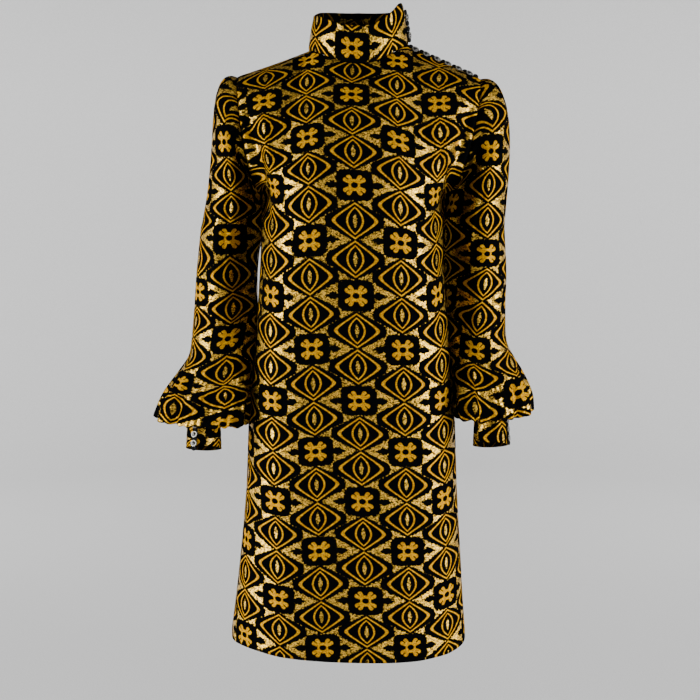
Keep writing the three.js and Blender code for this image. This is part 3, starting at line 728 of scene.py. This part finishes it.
# %% Front and back panels
FINE_COLUMNS = COLUMNS * 6
BODY_ROWS, YOKE_ROWS = 176, 72
ARC_SHARE = 0.86       # the cloth is eased a little where it turns to the side
FLAT_SHARE = 0.72      # of the half width, where a panel above the underarm stays flat
SHOULDER_SHARE = 0.97  # how fast the cloth runs on from there
SAG = {            # how far the rows of the weave hang down towards the two sides
    "z": [-908, -820, -700, -330, -250, -195, -150, -60, 0],
    "right": [6, 7, 8, 8, 12, 8.5, 20, 17, 17],
    "left": [2, 2, 2, 0, 10, 15, 18, 17, 13],
}
SAG_REACH = (30, 128)   # from the centre line, in millimetres
CENTRE_LINE = {"z": [-908, -660, -355, -200, -70, -20], "x": [17.5, 9.3, -0.3, -2.6, -7.0, -5.0]}
PATTERN_LEVEL = {  # where the weave's length falls on the centre line of the front
    "z": [-908, -887.6, -814.9, -738.4, -663.4, -587.1, -512.2, -434.9, -356.8, -275.6,
          -197.2, -125.8, -66.9, -31.6, -20],
    "v": [-868, -847, -770, -693, -616, -539, -462, -385, -308, -231, -154, -77, 0, 50.5, 67],
}


def panel_grid(facing):
    column = np.linspace(0, COLUMNS, FINE_COLUMNS + 1)[None, :]
    angle = np.mod(facing * (180 - 180 * column / COLUMNS), 360)
    z = np.linspace(HEM_Z, UNDERARM_Z, BODY_ROWS + 1)[:-1, None]
    skirt = body_points(angle, z)
    low = ((UNDERARM_Z - z) / (UNDERARM_Z - HEM_Z)) ** 4
    skirt[..., 2] += low * read(HEM_LINE, "angle", "lift", angle)
    down = np.linspace(1, 0, YOKE_ROWS + 1)[:, None]
    spread_column, spread_down = np.broadcast_arrays(column, down)
    yoke = yoke_points(spread_column, spread_down, facing)
    return np.concatenate([skirt, yoke])


def side_arc(x, z, facing):
    """Length round the body from its middle to the place x; above the underarm it opens out."""
    level = np.minimum(z, UNDERARM_Z)
    middle, half, power = (read(BODY, "z", key, level) for key in ("centre_x", "half_width", "power"))
    depth = read(BODY, "z", "front" if facing > 0 else "back", level)
    part = np.clip(np.abs(x - middle) / half, 0, 1.4)
    wrapped, past = np.zeros(part.shape), np.zeros(part.shape)
    steps = 48
    for i in range(steps):   # the oval is walked in small straight steps
        low, high = part.clip(0, 1) * i / steps, part.clip(0, 1) * (i + 1) / steps
        drop = (1 - low ** power) ** (1 / power) - (1 - high ** power) ** (1 / power)
        share = np.where(high > 0.9, 1.0, ARC_SHARE) * depth / half
        wrapped += np.hypot(high - low, drop * share)
        flat = np.minimum(high, FLAT_SHARE) - np.minimum(low, FLAT_SHARE)
        past += np.hypot(flat, np.where(flat > 0, drop, 0) * share)
    shoulder = past + np.maximum(part - FLAT_SHARE, 0) * SHOULDER_SHARE
    opened = smooth(z, UNDERARM_Z - 6, UNDERARM_Z + 70)
    return np.sign(x - middle) * lerp(wrapped, shoulder, opened) * half


def panel_map(grid, facing):
    x, z = grid[..., 0], grid[..., 2]
    rise = arc(grid, 0, (1, 2))
    middle = read(CENTRE_LINE, "z", "x", z)
    side = x - middle
    sag = np.where(side < 0, read(SAG, "z", "right", z), read(SAG, "z", "left", z))
    sag = sag * smooth(np.abs(side), *SAG_REACH)
    centre = grid.shape[1] // 2
    level = read(PATTERN_LEVEL, "z", "v", grid[:, centre, 2])
    scale = np.gradient(level) / np.maximum(np.gradient(rise[:, centre]), 1e-6)
    v = level[:, None] + (rise - rise[:, centre:centre + 1]) * np.clip(scale, 0.9, 1.1)[:, None]
    v = v + sag
    if facing < 0:
        v = rise - rise[:1] - 868
    u = side_arc(x, z, facing) - side_arc(middle, z, facing)
    return np.stack([u * facing, v], axis=-1)


SEAM_DIP = {"depth": 0.9, "width": 1.2}          # depth in millimetres, width in fine columns
UNDERARM_FULLNESS = {"depth": 2.0, "width": 5}


def panel(name, facing, folds):
    grid = panel_grid(facing)
    cloth = panel_map(grid, facing)
    out = normals(grid) * facing
    edge = np.minimum(np.arange(grid.shape[1]), np.arange(grid.shape[1])[::-1])[None, :]
    fall = -grid[..., 2]
    under = smooth(fall, 196, 206) - smooth(fall, 236, 262)
    seam = UNDERARM_FULLNESS["depth"] * under * np.exp(-(edge / UNDERARM_FULLNESS["width"]) ** 2)
    sewn = 1 - smooth(fall, 190, 205) + smooth(fall, 270, 290)
    seam = seam - SEAM_DIP["depth"] * np.exp(-(edge / SEAM_DIP["width"]) ** 2) * sewn
    held = smooth(edge, 0, 6)   # a crease runs out before it reaches a seam
    grid = grid + out * (crease(grid[..., 0], grid[..., 2], folds) * held + seam)[..., None]
    move = (0, 0) if facing > 0 else (0.03, 0.02)
    piece = cloth_piece(f"{name}_panel", grid, cloth, brocade(f"brocade_{name}", move),
                        flip=facing < 0)
    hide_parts(name)


panel("front", 1, FRONT_FOLDS)
panel("back", -1, BACK_FOLDS)

# %% [markdown]
# The sleeves are long and roomy. The head is eased into the armhole with a few small gathers,
# and at the wrist the fullness blouses over and is gathered into the cuff. The inner side lies
# against the body.

# %% Sleeves
UNDERARM_GAP, SEAM = 0.8, 0.36
SLEEVE_CLEARANCE = {  # between sleeve and body; the right one stands off a little at the elbow
    "z": [-206, -276, -296, -350, -376, -398],
    "right": [0.3, 0.3, 5.0, 5.0, 3.5, 0.6],
    "left": [0.3, 0.3, 0.6, 0.6, 0.6, 0.6],
}
SLEEVE_RINGS = {
    "right": {
        "z": [-262, -330, -385, -434, -459, -483, -517, -553],
        "x": [-188.3, -198.0, -197.3, -202.3, -205.2, -212.8, -225.5, -235.0],
        "y": [-4, -8, -13, -20, -25, -29, -38, -45],
        "half_x": [51, 48.5, 53.0, 52.2, 53.0, 58.8, 66.5, 70.5],
        "half_y": [56, 55, 55, 56, 57, 60, 65, 67],
    },
    "left": {
        "z": [-262, -330, -385, -434, -459, -483, -517, -543],
        "x": [178.5, 180.8, 183.4, 186.8, 192.0, 200.0, 207.5, 210.0],
        "y": [-4, -8, -13, -20, -25, -29, -38, -44],
        "half_x": [51, 52.3, 48.4, 46.8, 51.0, 55.0, 59.0, 58.0],
        "half_y": [56, 55, 55, 56, 57, 59, 64, 65],
    },
}
BLOUSE = {"drop": 3, "gathers": 10, "uneven": 0.45, "depth": 4.6, "start": -425, "tilt": 5}
BLOUSE_UNDERSIDE = {"inward": [0, 0.04, 0.16, 0.6, 1.0], "drop": [0, 0.6, 1, 1.8, 0]}
HEADS = {
    "right": {"reach": 162, "lift": 17, "downward": 405, "lean": 54},
    "left": {"reach": 211, "lift": 4, "downward": 130, "lean": -6},
}
HEAD_UNDERARM = {"reach": 6, "downward": 70, "front_lift": 10}
TUCK = {  # the deep fold where the front of the sleeve turns in to the side of the body
    "turn": 122, "front_width": 17, "inner_width": 45, "depth": 30,
    "top_z": -120, "full_z": -150, "low_z": -320, "end_z": -450, "head_share": 0.4,
}
HEAD_GATHERS = {"round": 12, "depth": 1.6, "at": 0.14, "length": 0.12}
CUFFS = {
    "right": {"x": -232, "y": -57, "top": -541, "opening": 57},
    "left": {"x": 205.5, "y": -57, "top": -536, "opening": 14},
}
CUFF = {"half_x": 23.5, "half_y": 28, "front": 42, "back": 64, "lean": 12, "underlap": 24,
        "flare": 3.5, "gap": 0.5}


def body_reach(y, z):
    level = np.clip(z, HEM_Z, UNDERARM_Z)
    depth = np.where(y < 0, read(BODY, "z", "front", level), read(BODY, "z", "back", level))
    part = np.minimum(np.abs(y) / depth, 1)
    power = read(BODY, "z", "power", level)
    return read(BODY, "z", "half_width", level) * (1 - part ** power) ** (1 / power)


def keep_clear(p, sign):
    """Holds the sleeve just clear of the side of the body."""
    middle = read(BODY, "z", "centre_x", np.clip(p[..., 2], HEM_Z, UNDERARM_Z))
    clear = read(SLEEVE_CLEARANCE, "z", "right" if sign < 0 else "left", p[..., 2])
    nearest = middle + sign * (body_reach(p[..., 1], p[..., 2]) + clear)
    p[..., 0] = sign * np.maximum(sign * p[..., 0], sign * nearest)
    return p


def tuck_depth(turn, z):
    near = np.mod(turn, 360) - TUCK["turn"]
    near = near / np.where(near < 0, TUCK["front_width"], TUCK["inner_width"])
    return (TUCK["depth"] * np.exp(-near * near) * smooth(-z, -TUCK["top_z"], -TUCK["full_z"])
            * (1 - smooth(-z, -TUCK["low_z"], -TUCK["end_z"])))


def sleeve_ring(side, turn, z):
    sign, table, t = SIDES[side]["sign"], SLEEVE_RINGS[side], np.radians(turn)
    full = smooth(-z, -BLOUSE["start"], -table["z"][-1])
    ripple = np.cos(BLOUSE["gathers"] * t)
    ripple = ripple + BLOUSE["uneven"] * np.cos((BLOUSE["gathers"] - 3) * t + 1.3)
    swell = full * BLOUSE["depth"] * ripple
    ring = points(
        read(table, "z", "x", z) + sign * (read(table, "z", "half_x", z) + swell) * np.cos(t),
        read(table, "z", "y", z) - (read(table, "z", "half_y", z) + swell) * np.sin(t)
        + tuck_depth(turn, z),
        z + full * BLOUSE["tilt"] * np.cos(t),
    )
    return keep_clear(ring, sign)


def cuff_points(side, turn, down, inset=0.0):
    sign, facts, t = SIDES[side]["sign"], CUFFS[side], np.radians(turn)
    height = lerp(CUFF["back"], CUFF["front"], (1 + np.sin(t)) / 2)
    grow = CUFF["flare"] * down - inset
    return points(
        facts["x"] + sign * (CUFF["half_x"] + grow) * np.cos(t),
        facts["y"] - CUFF["lean"] * down - (CUFF["half_y"] + grow) * np.sin(t),
        facts["top"] - height * down,
    )


SLEEVE_TURNS = np.linspace(-180, 180, 161)
HEAD_ROWS, TUBE_ROWS, UNDER_ROWS = 64, 96, 20


def sleeve_grid(side):
    """Rows from the armhole to the cuff, columns from the underarm seam round and back."""
    table = SLEEVE_RINGS[side]
    sign, turn = SIDES[side]["sign"], SLEEVE_TURNS[None, :]
    t = np.radians(turn)
    high = (1 + np.cos(t)) / 2
    first, last = float(table["z"][0]), float(table["z"][-1])
    start = armhole_points(side, np.mod(turn, 360))
    start[..., 0] += sign * lerp(UNDERARM_GAP, SEAM, high)
    end = sleeve_ring(side, turn, np.array(first))
    below = sleeve_ring(side, turn, np.array(first - 10))
    for ring in (end, below):
        ring[..., 1] -= tuck_depth(turn, ring[..., 2])
    over, under = HEADS[side], HEAD_UNDERARM
    slope_end = (below - end) * (lerp(under["downward"], over["downward"], high) / 10)[..., None]
    slope_end[..., 0] += sign * over["lean"] * high
    slope_start = points(sign * lerp(under["reach"], over["reach"], high),
                         -under["front_lift"] * np.sin(t), over["lift"] * high * high)
    down = np.linspace(0, 1, HEAD_ROWS + 1)[:, None]
    head = hermite(start, end, slope_start, slope_end, down[..., None])
    ripple = HEAD_GATHERS["depth"] * np.cos(HEAD_GATHERS["round"] * t) * high ** 3
    bump = np.exp(-(((down - HEAD_GATHERS["at"]) / HEAD_GATHERS["length"]) ** 2))
    head[..., 2] += ripple * bump * (down > 0)
    head[..., 1] += tuck_depth(turn, head[..., 2]) * smooth(down, 0, TUCK["head_share"])
    low = (head[..., 2:] < UNDERARM_Z) & (down[..., None] > 0)
    head = np.where(low, keep_clear(head.copy(), sign), head)
    z = np.linspace(first, last, TUBE_ROWS + 1)[1:, None]
    tube = sleeve_ring(side, turn, z)
    rim = sleeve_ring(side, turn, np.array(last))
    seam = cuff_points(side, turn, 0.0, -CUFF["gap"])
    inward = np.linspace(0, 1, UNDER_ROWS + 1)[1:, None]
    under = lerp(rim, seam, inward[..., None])
    drop = np.interp(inward, BLOUSE_UNDERSIDE["inward"], BLOUSE_UNDERSIDE["drop"])
    under[..., 2] -= drop * BLOUSE["drop"]
    return np.concatenate([head, tube, under])


SLEEVE_FOLDS = {
    # places round the sleeve in degrees, heights in millimetres
    "right": {
        "turn0": [78, 62, 112, 40, 98, -60, -100, -30],
        "z0": [-190, -250, -215, -300, -360, -200, -250, -330],
        "turn1": [88, 74, 122, 58, 104, -70, -90, -45],
        "z1": [-330, -345, -262, -420, -470, -340, -420, -480],
        "width": [5, 6, 6, 7, 7, 8, 8, 8],
        "depth": [-2.6, 2.0, -2.2, -2.2, -2.0, -2.4, 2.0, -2.0],
    },
    "left": {
        "turn0": [84, 66, 112, 46, 100, -62, -98, -34],
        "z0": [-185, -250, -215, -300, -350, -205, -255, -330],
        "turn1": [92, 76, 122, 60, 108, -70, -88, -48],
        "z1": [-325, -345, -268, -420, -450, -340, -420, -480],
        "width": [5, 6, 6, 7, 7, 8, 8, 8],
        "depth": [-2.6, 2.0, -2.2, -2.2, -2.0, -2.4, 2.0, -2.0],
    },
}
SLEEVE_ROUND = 52.0   # mean radius, which turns degrees into millimetres of cloth
SLEEVE_DRIFT = {      # how the weave drifts as the cloth turns with the arm: round and down
    "right": {
        "z": [-60, -75, -125, -175, -226, -276, -327, -380, -425, -473, -495, -515, -553],
        "round": [-20, -22, -23, -12, -5, 0, 10, 13, 9, 12, 16, 26, 30],
        "down": [-3, -3, 7, 6, 2, -3, 4, 1, -4, -3, -7, -15, -18],
    },
    "left": {
        "z": [-60, -90, -125, -140, -192, -243, -296, -342, -443, -485, -510, -543],
        "round": [24, 24, 14, 11, 12, 18, 18, 14, -11, -22, -29, -33],
        "down": [13, 13, 19, 21, 20, 21, 21, 15, 14, 6, 6, 6],
    },
}


def sleeve_relief(grid, side):
    """Folds of a hanging sleeve, and fine gathers that fade away from head and cuff."""
    t = np.radians(np.broadcast_to(SLEEVE_TURNS[None, :], grid.shape[:2]))
    folds = dict(SLEEVE_FOLDS[side])
    x0, x1 = (np.radians(folds.pop(turn)) * SLEEVE_ROUND for turn in ("turn0", "turn1"))
    moved = crease(t * SLEEVE_ROUND, grid[..., 2], {
        "x0": x0, "z0": folds["z0"], "x1": x1, "z1": folds["z1"],
        "width": folds["width"], "depth": folds["depth"],
    })
    row = np.arange(grid.shape[0])[:, None]
    last = grid.shape[0] - 1
    pleats = np.cos(23 * t + 0.8 * np.sin(5 * t)) + 0.4 * np.cos(31 * t + 1.0)
    near_cuff = smooth(row, last - 66, last - 10) * (1 - 0.45 * smooth(row, last - 8, last))
    moved = moved + 1.9 * pleats * near_cuff
    seam = np.exp(-(row / 1.4) ** 2)
    head = smooth(row, 1, 5) * (1 - smooth(row, 8, 26)) * ((1 + np.cos(t)) / 2) ** 2
    moved = moved + 0.8 * np.cos(26 * t + 0.7 * np.sin(4 * t)) * head - 0.9 * seam
    return moved


SLEEVE_LEVEL = 124   # where the weave begins on the sleeve, in millimetres
CLOTH_RADIUS = (48, 53.5)


def sleeve(side):
    grid = sleeve_grid(side)
    sign = SIDES[side]["sign"]
    fall = -arc(grid, 0)
    top = np.abs(SLEEVE_TURNS).argmin()
    front_line = np.abs(SLEEVE_TURNS - 90).argmin()
    fall = fall - fall[HEAD_ROWS:HEAD_ROWS + 1] + grid[HEAD_ROWS, front_line, 2]
    size = read(SLEEVE_RINGS[side], "z", "half_x", grid[..., 2])
    u = (np.radians(SLEEVE_TURNS) - np.pi / 2) * np.clip((size + 55) / 2, *CLOTH_RADIUS)
    drift = [read(SLEEVE_DRIFT[side], "z", way, grid[..., 2]) for way in ("round", "down")]
    cloth = np.stack([-sign * u - drift[0], fall + SLEEVE_LEVEL + drift[1]], axis=-1)
    out = normals(grid, closed=True) * -sign
    if (out[HEAD_ROWS, top] * np.array([sign, 0, 0])).sum() < 0:
        out = -out
    grid = grid + out * sleeve_relief(grid, side)[..., None]
    piece = cloth_piece(f"sleeve_{side}_cloth", grid, cloth, brocade(f"brocade_sleeve_{side}"),
                        flip=sign < 0)
    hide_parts(f"sleeve_{side}")


for side in SIDES:
    sleeve(side)

# %% [markdown]
# Each cuff is a doubled band with a flap that tucks under. It is cut with the thread running
# round the wrist as on the sleeve, and a narrow line of stitching holds its edges.

# %% Cuffs
CUFF_TURNS, CUFF_ROWS = 120, 28


def cuff(side):
    opening = CUFFS[side]["opening"]
    turn = opening + np.linspace(0, 360 + CUFF["underlap"], CUFF_TURNS + 1)[None, :]
    down = np.linspace(0, 1, CUFF_ROWS + 1)[:, None]
    tucked = smooth(turn, opening + 340, opening + 358) * 2.7
    grid = cuff_points(side, turn, down, tucked)
    sign = SIDES[side]["sign"]
    cloth = np.stack([arc(grid, 1) * -sign, -arc(grid, 0)], axis=-1)
    out = normals(grid) * sign
    stitch = np.exp(-((down - 0.93) / 0.02) ** 2) + np.exp(-((down - 0.05) / 0.02) ** 2)
    swell = 0.5 * np.sin(np.pi * down) + 0.35 * np.sin(np.radians(turn) * 5 + 2 * down)
    grid = grid - out * (0.5 * stitch - swell)[..., None]
    piece = cloth_piece(f"cuff_{side}_cloth", grid, cloth,
                        brocade(f"brocade_cuff_{side}", move=(0.02, 0.09)),
                        BAND_THICKNESS, flip=sign < 0)
    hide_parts(f"cuff_{side}")


for side in CUFFS:
    cuff(side)

# %% [markdown]
# The standing collar is two layers with stiffening between them, so it keeps its own curve. It
# is one band, sewn to the neckline and open on the wearer's left, where two buttons close it.

# %% Collar
COLLAR_RIM = {
    "angle": [-180, -125, -90, -55, -25, 0, 22, 45, 66, 90, 135, 180],
    "z": [70, 67, 57, 50, 38, 34, 39, 56, 72, 68, 68, 70],
}
COLLAR = {"half_width": 67.5, "front": 62, "back": 55, "bulge": 1.5, "opening": 84, "slit": 1.2}


def collar_points(angle, up):
    a = np.radians(angle)
    base = neck_points(angle)
    base[..., 2] += SEAM
    rim_z = read(COLLAR_RIM, "angle", "z", np.mod(angle + 180, 360) - 180)
    depth = np.where(np.cos(a) > 0, COLLAR["front"], COLLAR["back"])
    rim = points(NECK["x"] + COLLAR["half_width"] * np.sin(a),
                 NECK["y"] - depth * np.cos(a), rim_z)
    p = lerp(base, rim, np.asarray(up)[..., None])
    swell = COLLAR["bulge"] * np.sin(np.pi * up)
    p[..., 0] += swell * np.sin(a)
    p[..., 1] -= swell * np.cos(a)
    return p


COLLAR_TURNS, COLLAR_ROWS = 240, 30


def collar_piece():
    slit = np.degrees(COLLAR["slit"] / 2 / NECK["half_width"])
    angle = np.linspace(COLLAR["opening"] + slit, COLLAR["opening"] + 360 - slit,
                        COLLAR_TURNS + 1)[None, :]
    up = np.linspace(0, 1, COLLAR_ROWS + 1)[:, None]
    grid = collar_points(angle, up)
    length = arc(grid, 1)
    middle = np.abs(angle[0] - 360).argmin()
    cloth = np.stack([length - length[:, middle:middle + 1], arc(grid, 0)], axis=-1)
    edge = np.exp(-((1 - up) / 0.05) ** 2) * 0.5 - np.exp(-(up / 0.05) ** 2) * 0.9
    wave = 0.5 * np.sin(np.radians(angle) * 6 + 3 * up) * up
    grid = grid + normals(grid) * (edge + wave)[..., None]
    material = brocade("brocade_collar", move=(0.01, -0.021))
    piece = cloth_piece("collar_band", grid, cloth, material, COLLAR_THICKNESS)
    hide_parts("collar")


collar_piece()

# %% [markdown]
# The buttons are small jewels: a dark polished dome in a metal cup with a ring of cut stones.
# Each sits in a loop of rolled black cloth. One button is made of spun and cut bmesh shapes, and
# is put at each place that the pattern pieces give.

# %% Button finishes
def plain_material(name, colour, roughness, metallic=0.0, coat=0.0, shine=0.5, scale=900,
                   depth=0.00005):
    """A finish with a slight uneven grain in its colour, roughness and relief."""
    material = bpy.data.materials.new(name)
    material.use_nodes = True
    tree = material.node_tree
    shader = tree.nodes["Principled BSDF"]
    place = tree.nodes.new("ShaderNodeTexCoord").outputs["Object"]
    speckle = noise(tree, place, scale, 2)
    dark = tuple(c * 0.7 for c in colour[:3]) + (1,)
    tree.links.new(mix(tree, (speckle + 0.5).unit(), dark, colour), shader.inputs["Base Color"])
    tree.links.new((speckle * 0.2 + roughness).unit().socket, shader.inputs["Roughness"])
    shader.inputs["Metallic"].default_value = metallic
    shader.inputs["Coat Weight"].default_value = coat
    shader.inputs["Specular IOR Level"].default_value = shine
    bump = tree.nodes.new("ShaderNodeBump")
    bump.inputs["Strength"].default_value = 0.5
    bump.inputs["Distance"].default_value = depth
    tree.links.new((speckle + 0.5).socket, bump.inputs["Height"])
    tree.links.new(bump.outputs[0], shader.inputs["Normal"])
    return material


enamel = plain_material("black_enamel", (0.012, 0.012, 0.014, 1), 0.12, coat=0.6)
cup_metal = plain_material("cup_metal", (0.09, 0.08, 0.065, 1), 0.34, metallic=1.0)
stone = plain_material("cut_stone", (0.36, 0.35, 0.31, 1), 0.22, metallic=0.6, scale=400)
loop_cloth = plain_material("loop_cloth", (0.004, 0.004, 0.005, 1), 0.8, shine=0.1, scale=1500,
                            depth=0.0002)
print("button finishes ready")

# %% [markdown]
# A button's cup is a cone turned on its axis, the dome a flattened ball, and the stones are small
# cut cones set round the dome.

# %% Buttons
BUTTON = {"radius": 5.2, "shank_radius": 2.0, "shank": 1.4, "stones": 12}


def button_piece(node, seat, outward):
    seat, outward = Vector(seat), Vector(outward).normalized()
    stand = (Matrix.Translation((seat + outward * SEAM) * MM)
             @ outward.to_track_quat("Z", "Y").to_matrix().to_4x4() @ Matrix.Scale(MM, 4))
    radius, shank = BUTTON["radius"], BUTTON["shank"]
    bm = bmesh.new()

    def part(shape, material, **settings):
        before = set(bm.faces)
        shape(bm, **settings)
        for face in set(bm.faces) - before:
            face.material_index = material
            face.smooth = material != 2

    def at(x, y, z, scale=(1, 1, 1)):
        return stand @ Matrix.Translation((x, y, z)) @ Matrix.Diagonal((*scale, 1))

    cone = bmesh.ops.create_cone
    part(cone, 1, cap_ends=True, segments=20, radius1=BUTTON["shank_radius"],
         radius2=BUTTON["shank_radius"], depth=shank, matrix=at(0, 0, shank / 2))
    part(cone, 1, cap_ends=True, segments=32, radius1=radius * 0.84, radius2=radius, depth=1.0,
         matrix=at(0, 0, shank + 0.5))
    part(cone, 1, cap_ends=True, segments=32, radius1=radius, radius2=radius * 0.9, depth=0.6,
         matrix=at(0, 0, shank + 1.3))
    part(bmesh.ops.create_uvsphere, 0, u_segments=24, v_segments=12, radius=radius * 0.56,
         matrix=at(0, 0, shank + 1.4, (1, 1, 0.62)))
    for i in range(BUTTON["stones"]):
        a = 2 * np.pi * i / BUTTON["stones"]
        place = at(radius * 0.77 * np.cos(a), radius * 0.77 * np.sin(a), shank + 1.9)
        part(cone, 2, cap_ends=True, segments=8, radius1=1.15, radius2=0.6, depth=0.75,
             matrix=place)
    piece = new_object(f"{node}_jewel", bm, (enamel, cup_metal, stone))
    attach(piece, "root")
    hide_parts(node)


SHOULDER_BUTTONS = {"count": 6, "first_x": 88, "pitch": 16.6, "forward": 0.5, "strip": 0.1,
                    "nod": 0.6}
COLLAR_BUTTONS = [55, 28]
CUFF_BUTTONS = {"count": 3, "first": 14, "pitch": 13}


def shoulder_place(i, forward=None):
    """On the narrow strip of the front panel that leads away from the shoulder seam."""
    columns = np.arange(COLUMNS - SHOULDER_COLUMNS, COLUMNS + 1.0)
    edge, strip = (yoke_points(columns, np.full(columns.shape, down), 1)
                   for down in (0.0, SHOULDER_BUTTONS["strip"]))
    edge[:, 1] -= SEAM / 2
    strip[-1, 1] -= SEAM / 2
    x = SHOULDER_BUTTONS["first_x"] + SHOULDER_BUTTONS["pitch"] * i
    at = SHOULDER_COLUMNS * (x - edge[0, 0]) / (edge[-1, 0] - edge[0, 0])
    before, share = int(at), at - int(at)
    top, low = (lerp(line[before], line[before + 1], share) for line in (edge, strip))
    outward = np.cross(low - top, edge[before + 1] - edge[before])
    outward = outward / np.linalg.norm(outward) + (0, -SHOULDER_BUTTONS["nod"], 0)
    forward = SHOULDER_BUTTONS["forward"] if forward is None else forward
    return lerp(top, low, forward), outward


def collar_place(z):
    angle = np.array(COLLAR["opening"] + 4.0)
    base, rim = collar_points(angle, 0.0), collar_points(angle, 1.0)
    a = np.radians(float(angle))
    return collar_points(angle, (z - base[2]) / (rim[2] - base[2])), (np.sin(a), -np.cos(a) - 0.45, 0.05)


def cuff_place(side, i):
    turn = np.array(CUFFS[side]["opening"] + 11.0)
    a = np.radians(float(turn))
    down = cuff_points(side, turn, 1.0) - cuff_points(side, turn, 0.0)
    seat = cuff_points(side, turn, -(CUFF_BUTTONS["first"] + CUFF_BUTTONS["pitch"] * i) / down[2])
    x, y = SIDES[side]["sign"] * np.cos(a) / CUFF["half_x"], -np.sin(a) / CUFF["half_y"]
    return seat, (x, y, -(x * down[0] + y * down[1]) / down[2])


def loop_chain(name, places, major=2.5, minor=1.8, segments=14):
    """A row of small rings of rolled cloth, each lying flat on its place."""
    bm = bmesh.new()
    for seat, outward in places:
        outward = Vector(outward).normalized()
        stand = (Matrix.Translation((Vector(seat) + outward * minor * 0.9) * MM)
                 @ outward.to_track_quat("Z", "Y").to_matrix().to_4x4() @ Matrix.Scale(MM, 4))
        side = Matrix.Translation((major, 0, 0)) @ Matrix.Rotation(np.pi / 2, 4, "X")
        ring = bmesh.ops.create_circle(bm, segments=8, radius=minor, matrix=side)["verts"]
        edges = list({edge for vert in ring for edge in vert.link_edges})
        bmesh.ops.spin(bm, geom=ring + edges, cent=(0, 0, 0), axis=(0, 0, 1),
                       angle=2 * np.pi, steps=segments, use_merge=True)
        faces = {face for vert in ring for face in vert.link_faces}
        verts = set(ring)
        while faces:
            new = {vert for face in faces for vert in face.verts} - verts
            verts |= new
            faces = {face for vert in new for face in vert.link_faces}
        bmesh.ops.transform(bm, matrix=stand, verts=list(verts))
    bmesh.ops.recalc_face_normals(bm, faces=bm.faces)
    piece = new_object(name, bm, [loop_cloth])
    piece.data.shade_smooth()
    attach(piece, "root")


for i in range(SHOULDER_BUTTONS["count"]):
    button_piece(f"button_shoulder_{i + 1}", *shoulder_place(i))
for i, z in enumerate(COLLAR_BUTTONS):
    button_piece(f"button_collar_{i + 1}", *collar_place(z))
for side in CUFFS:
    for i in range(CUFF_BUTTONS["count"]):
        button_piece(f"button_cuff_{side}_{i + 1}", *cuff_place(side, i))
print("buttons:", sum("jewel" in piece.name for piece in bpy.data.objects))

# %% [markdown]
# The loops stand close together, like a scalloped edge: two for each button of the shoulder, one
# every few millimetres on the collar, and one on each side of a cuff's button.

# %% Loops
LOOPS = {
    "shoulder": np.arange(-0.35, 5.9, 0.5), "forward": 0.3,   # counted in buttons
    "collar": range(22, 66, 8),                               # heights in millimetres
    "cuff": (-0.5, 0.5, 1.5, 2.5),                            # counted in buttons
}

loop_chain("shoulder_loops", [shoulder_place(i, LOOPS["forward"]) for i in LOOPS["shoulder"]])
loop_chain("collar_loops", [collar_place(z) for z in LOOPS["collar"]])
for side in CUFFS:
    loop_chain(f"cuff_{side}_loops", [cuff_place(side, i) for i in LOOPS["cuff"]])
print("rows of loops:", 2 + len(CUFFS))

# %% [markdown]
# The floor only catches light and shadow. It is a wide pale dish far below the hem, and its rim
# curves up into a wall, so there is no edge behind the dress from any side.

# %% Floor
DISH = {"floor": -1.32, "flat": 3.0, "bend": 1.6, "wall": 2.6}


def make_floor():
    bm = bmesh.new()
    bend = [(DISH["flat"] + DISH["bend"] * np.sin(a), DISH["floor"] + DISH["bend"] * (1 - np.cos(a)))
            for a in np.radians(np.linspace(0, 90, 10))]
    profile = [(0.001, DISH["floor"]), *bend, (bend[-1][0], DISH["floor"] + DISH["wall"])]
    verts = [bm.verts.new((r, 0, z)) for r, z in profile]
    edges = [bm.edges.new(pair) for pair in zip(verts, verts[1:])]
    bmesh.ops.spin(bm, geom=verts + edges, cent=(0, 0, 0), axis=(0, 0, 1), angle=2 * np.pi,
                   steps=72, use_merge=True)
    bmesh.ops.recalc_face_normals(bm, faces=bm.faces)
    paint = plain_material("pale_floor", (0.8, 0.8, 0.8, 1), 0.85, scale=300, depth=0.0001)
    floor = new_object("floor", bm, [paint])
    floor.data.shade_smooth()
    floor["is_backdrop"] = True
    return floor


print("floor faces:", len(make_floor().data.polygons))

# %% Size and finish
({"cad": [list(v) for v in cad_bounds],
           "visual": [list(v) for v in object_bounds()]})
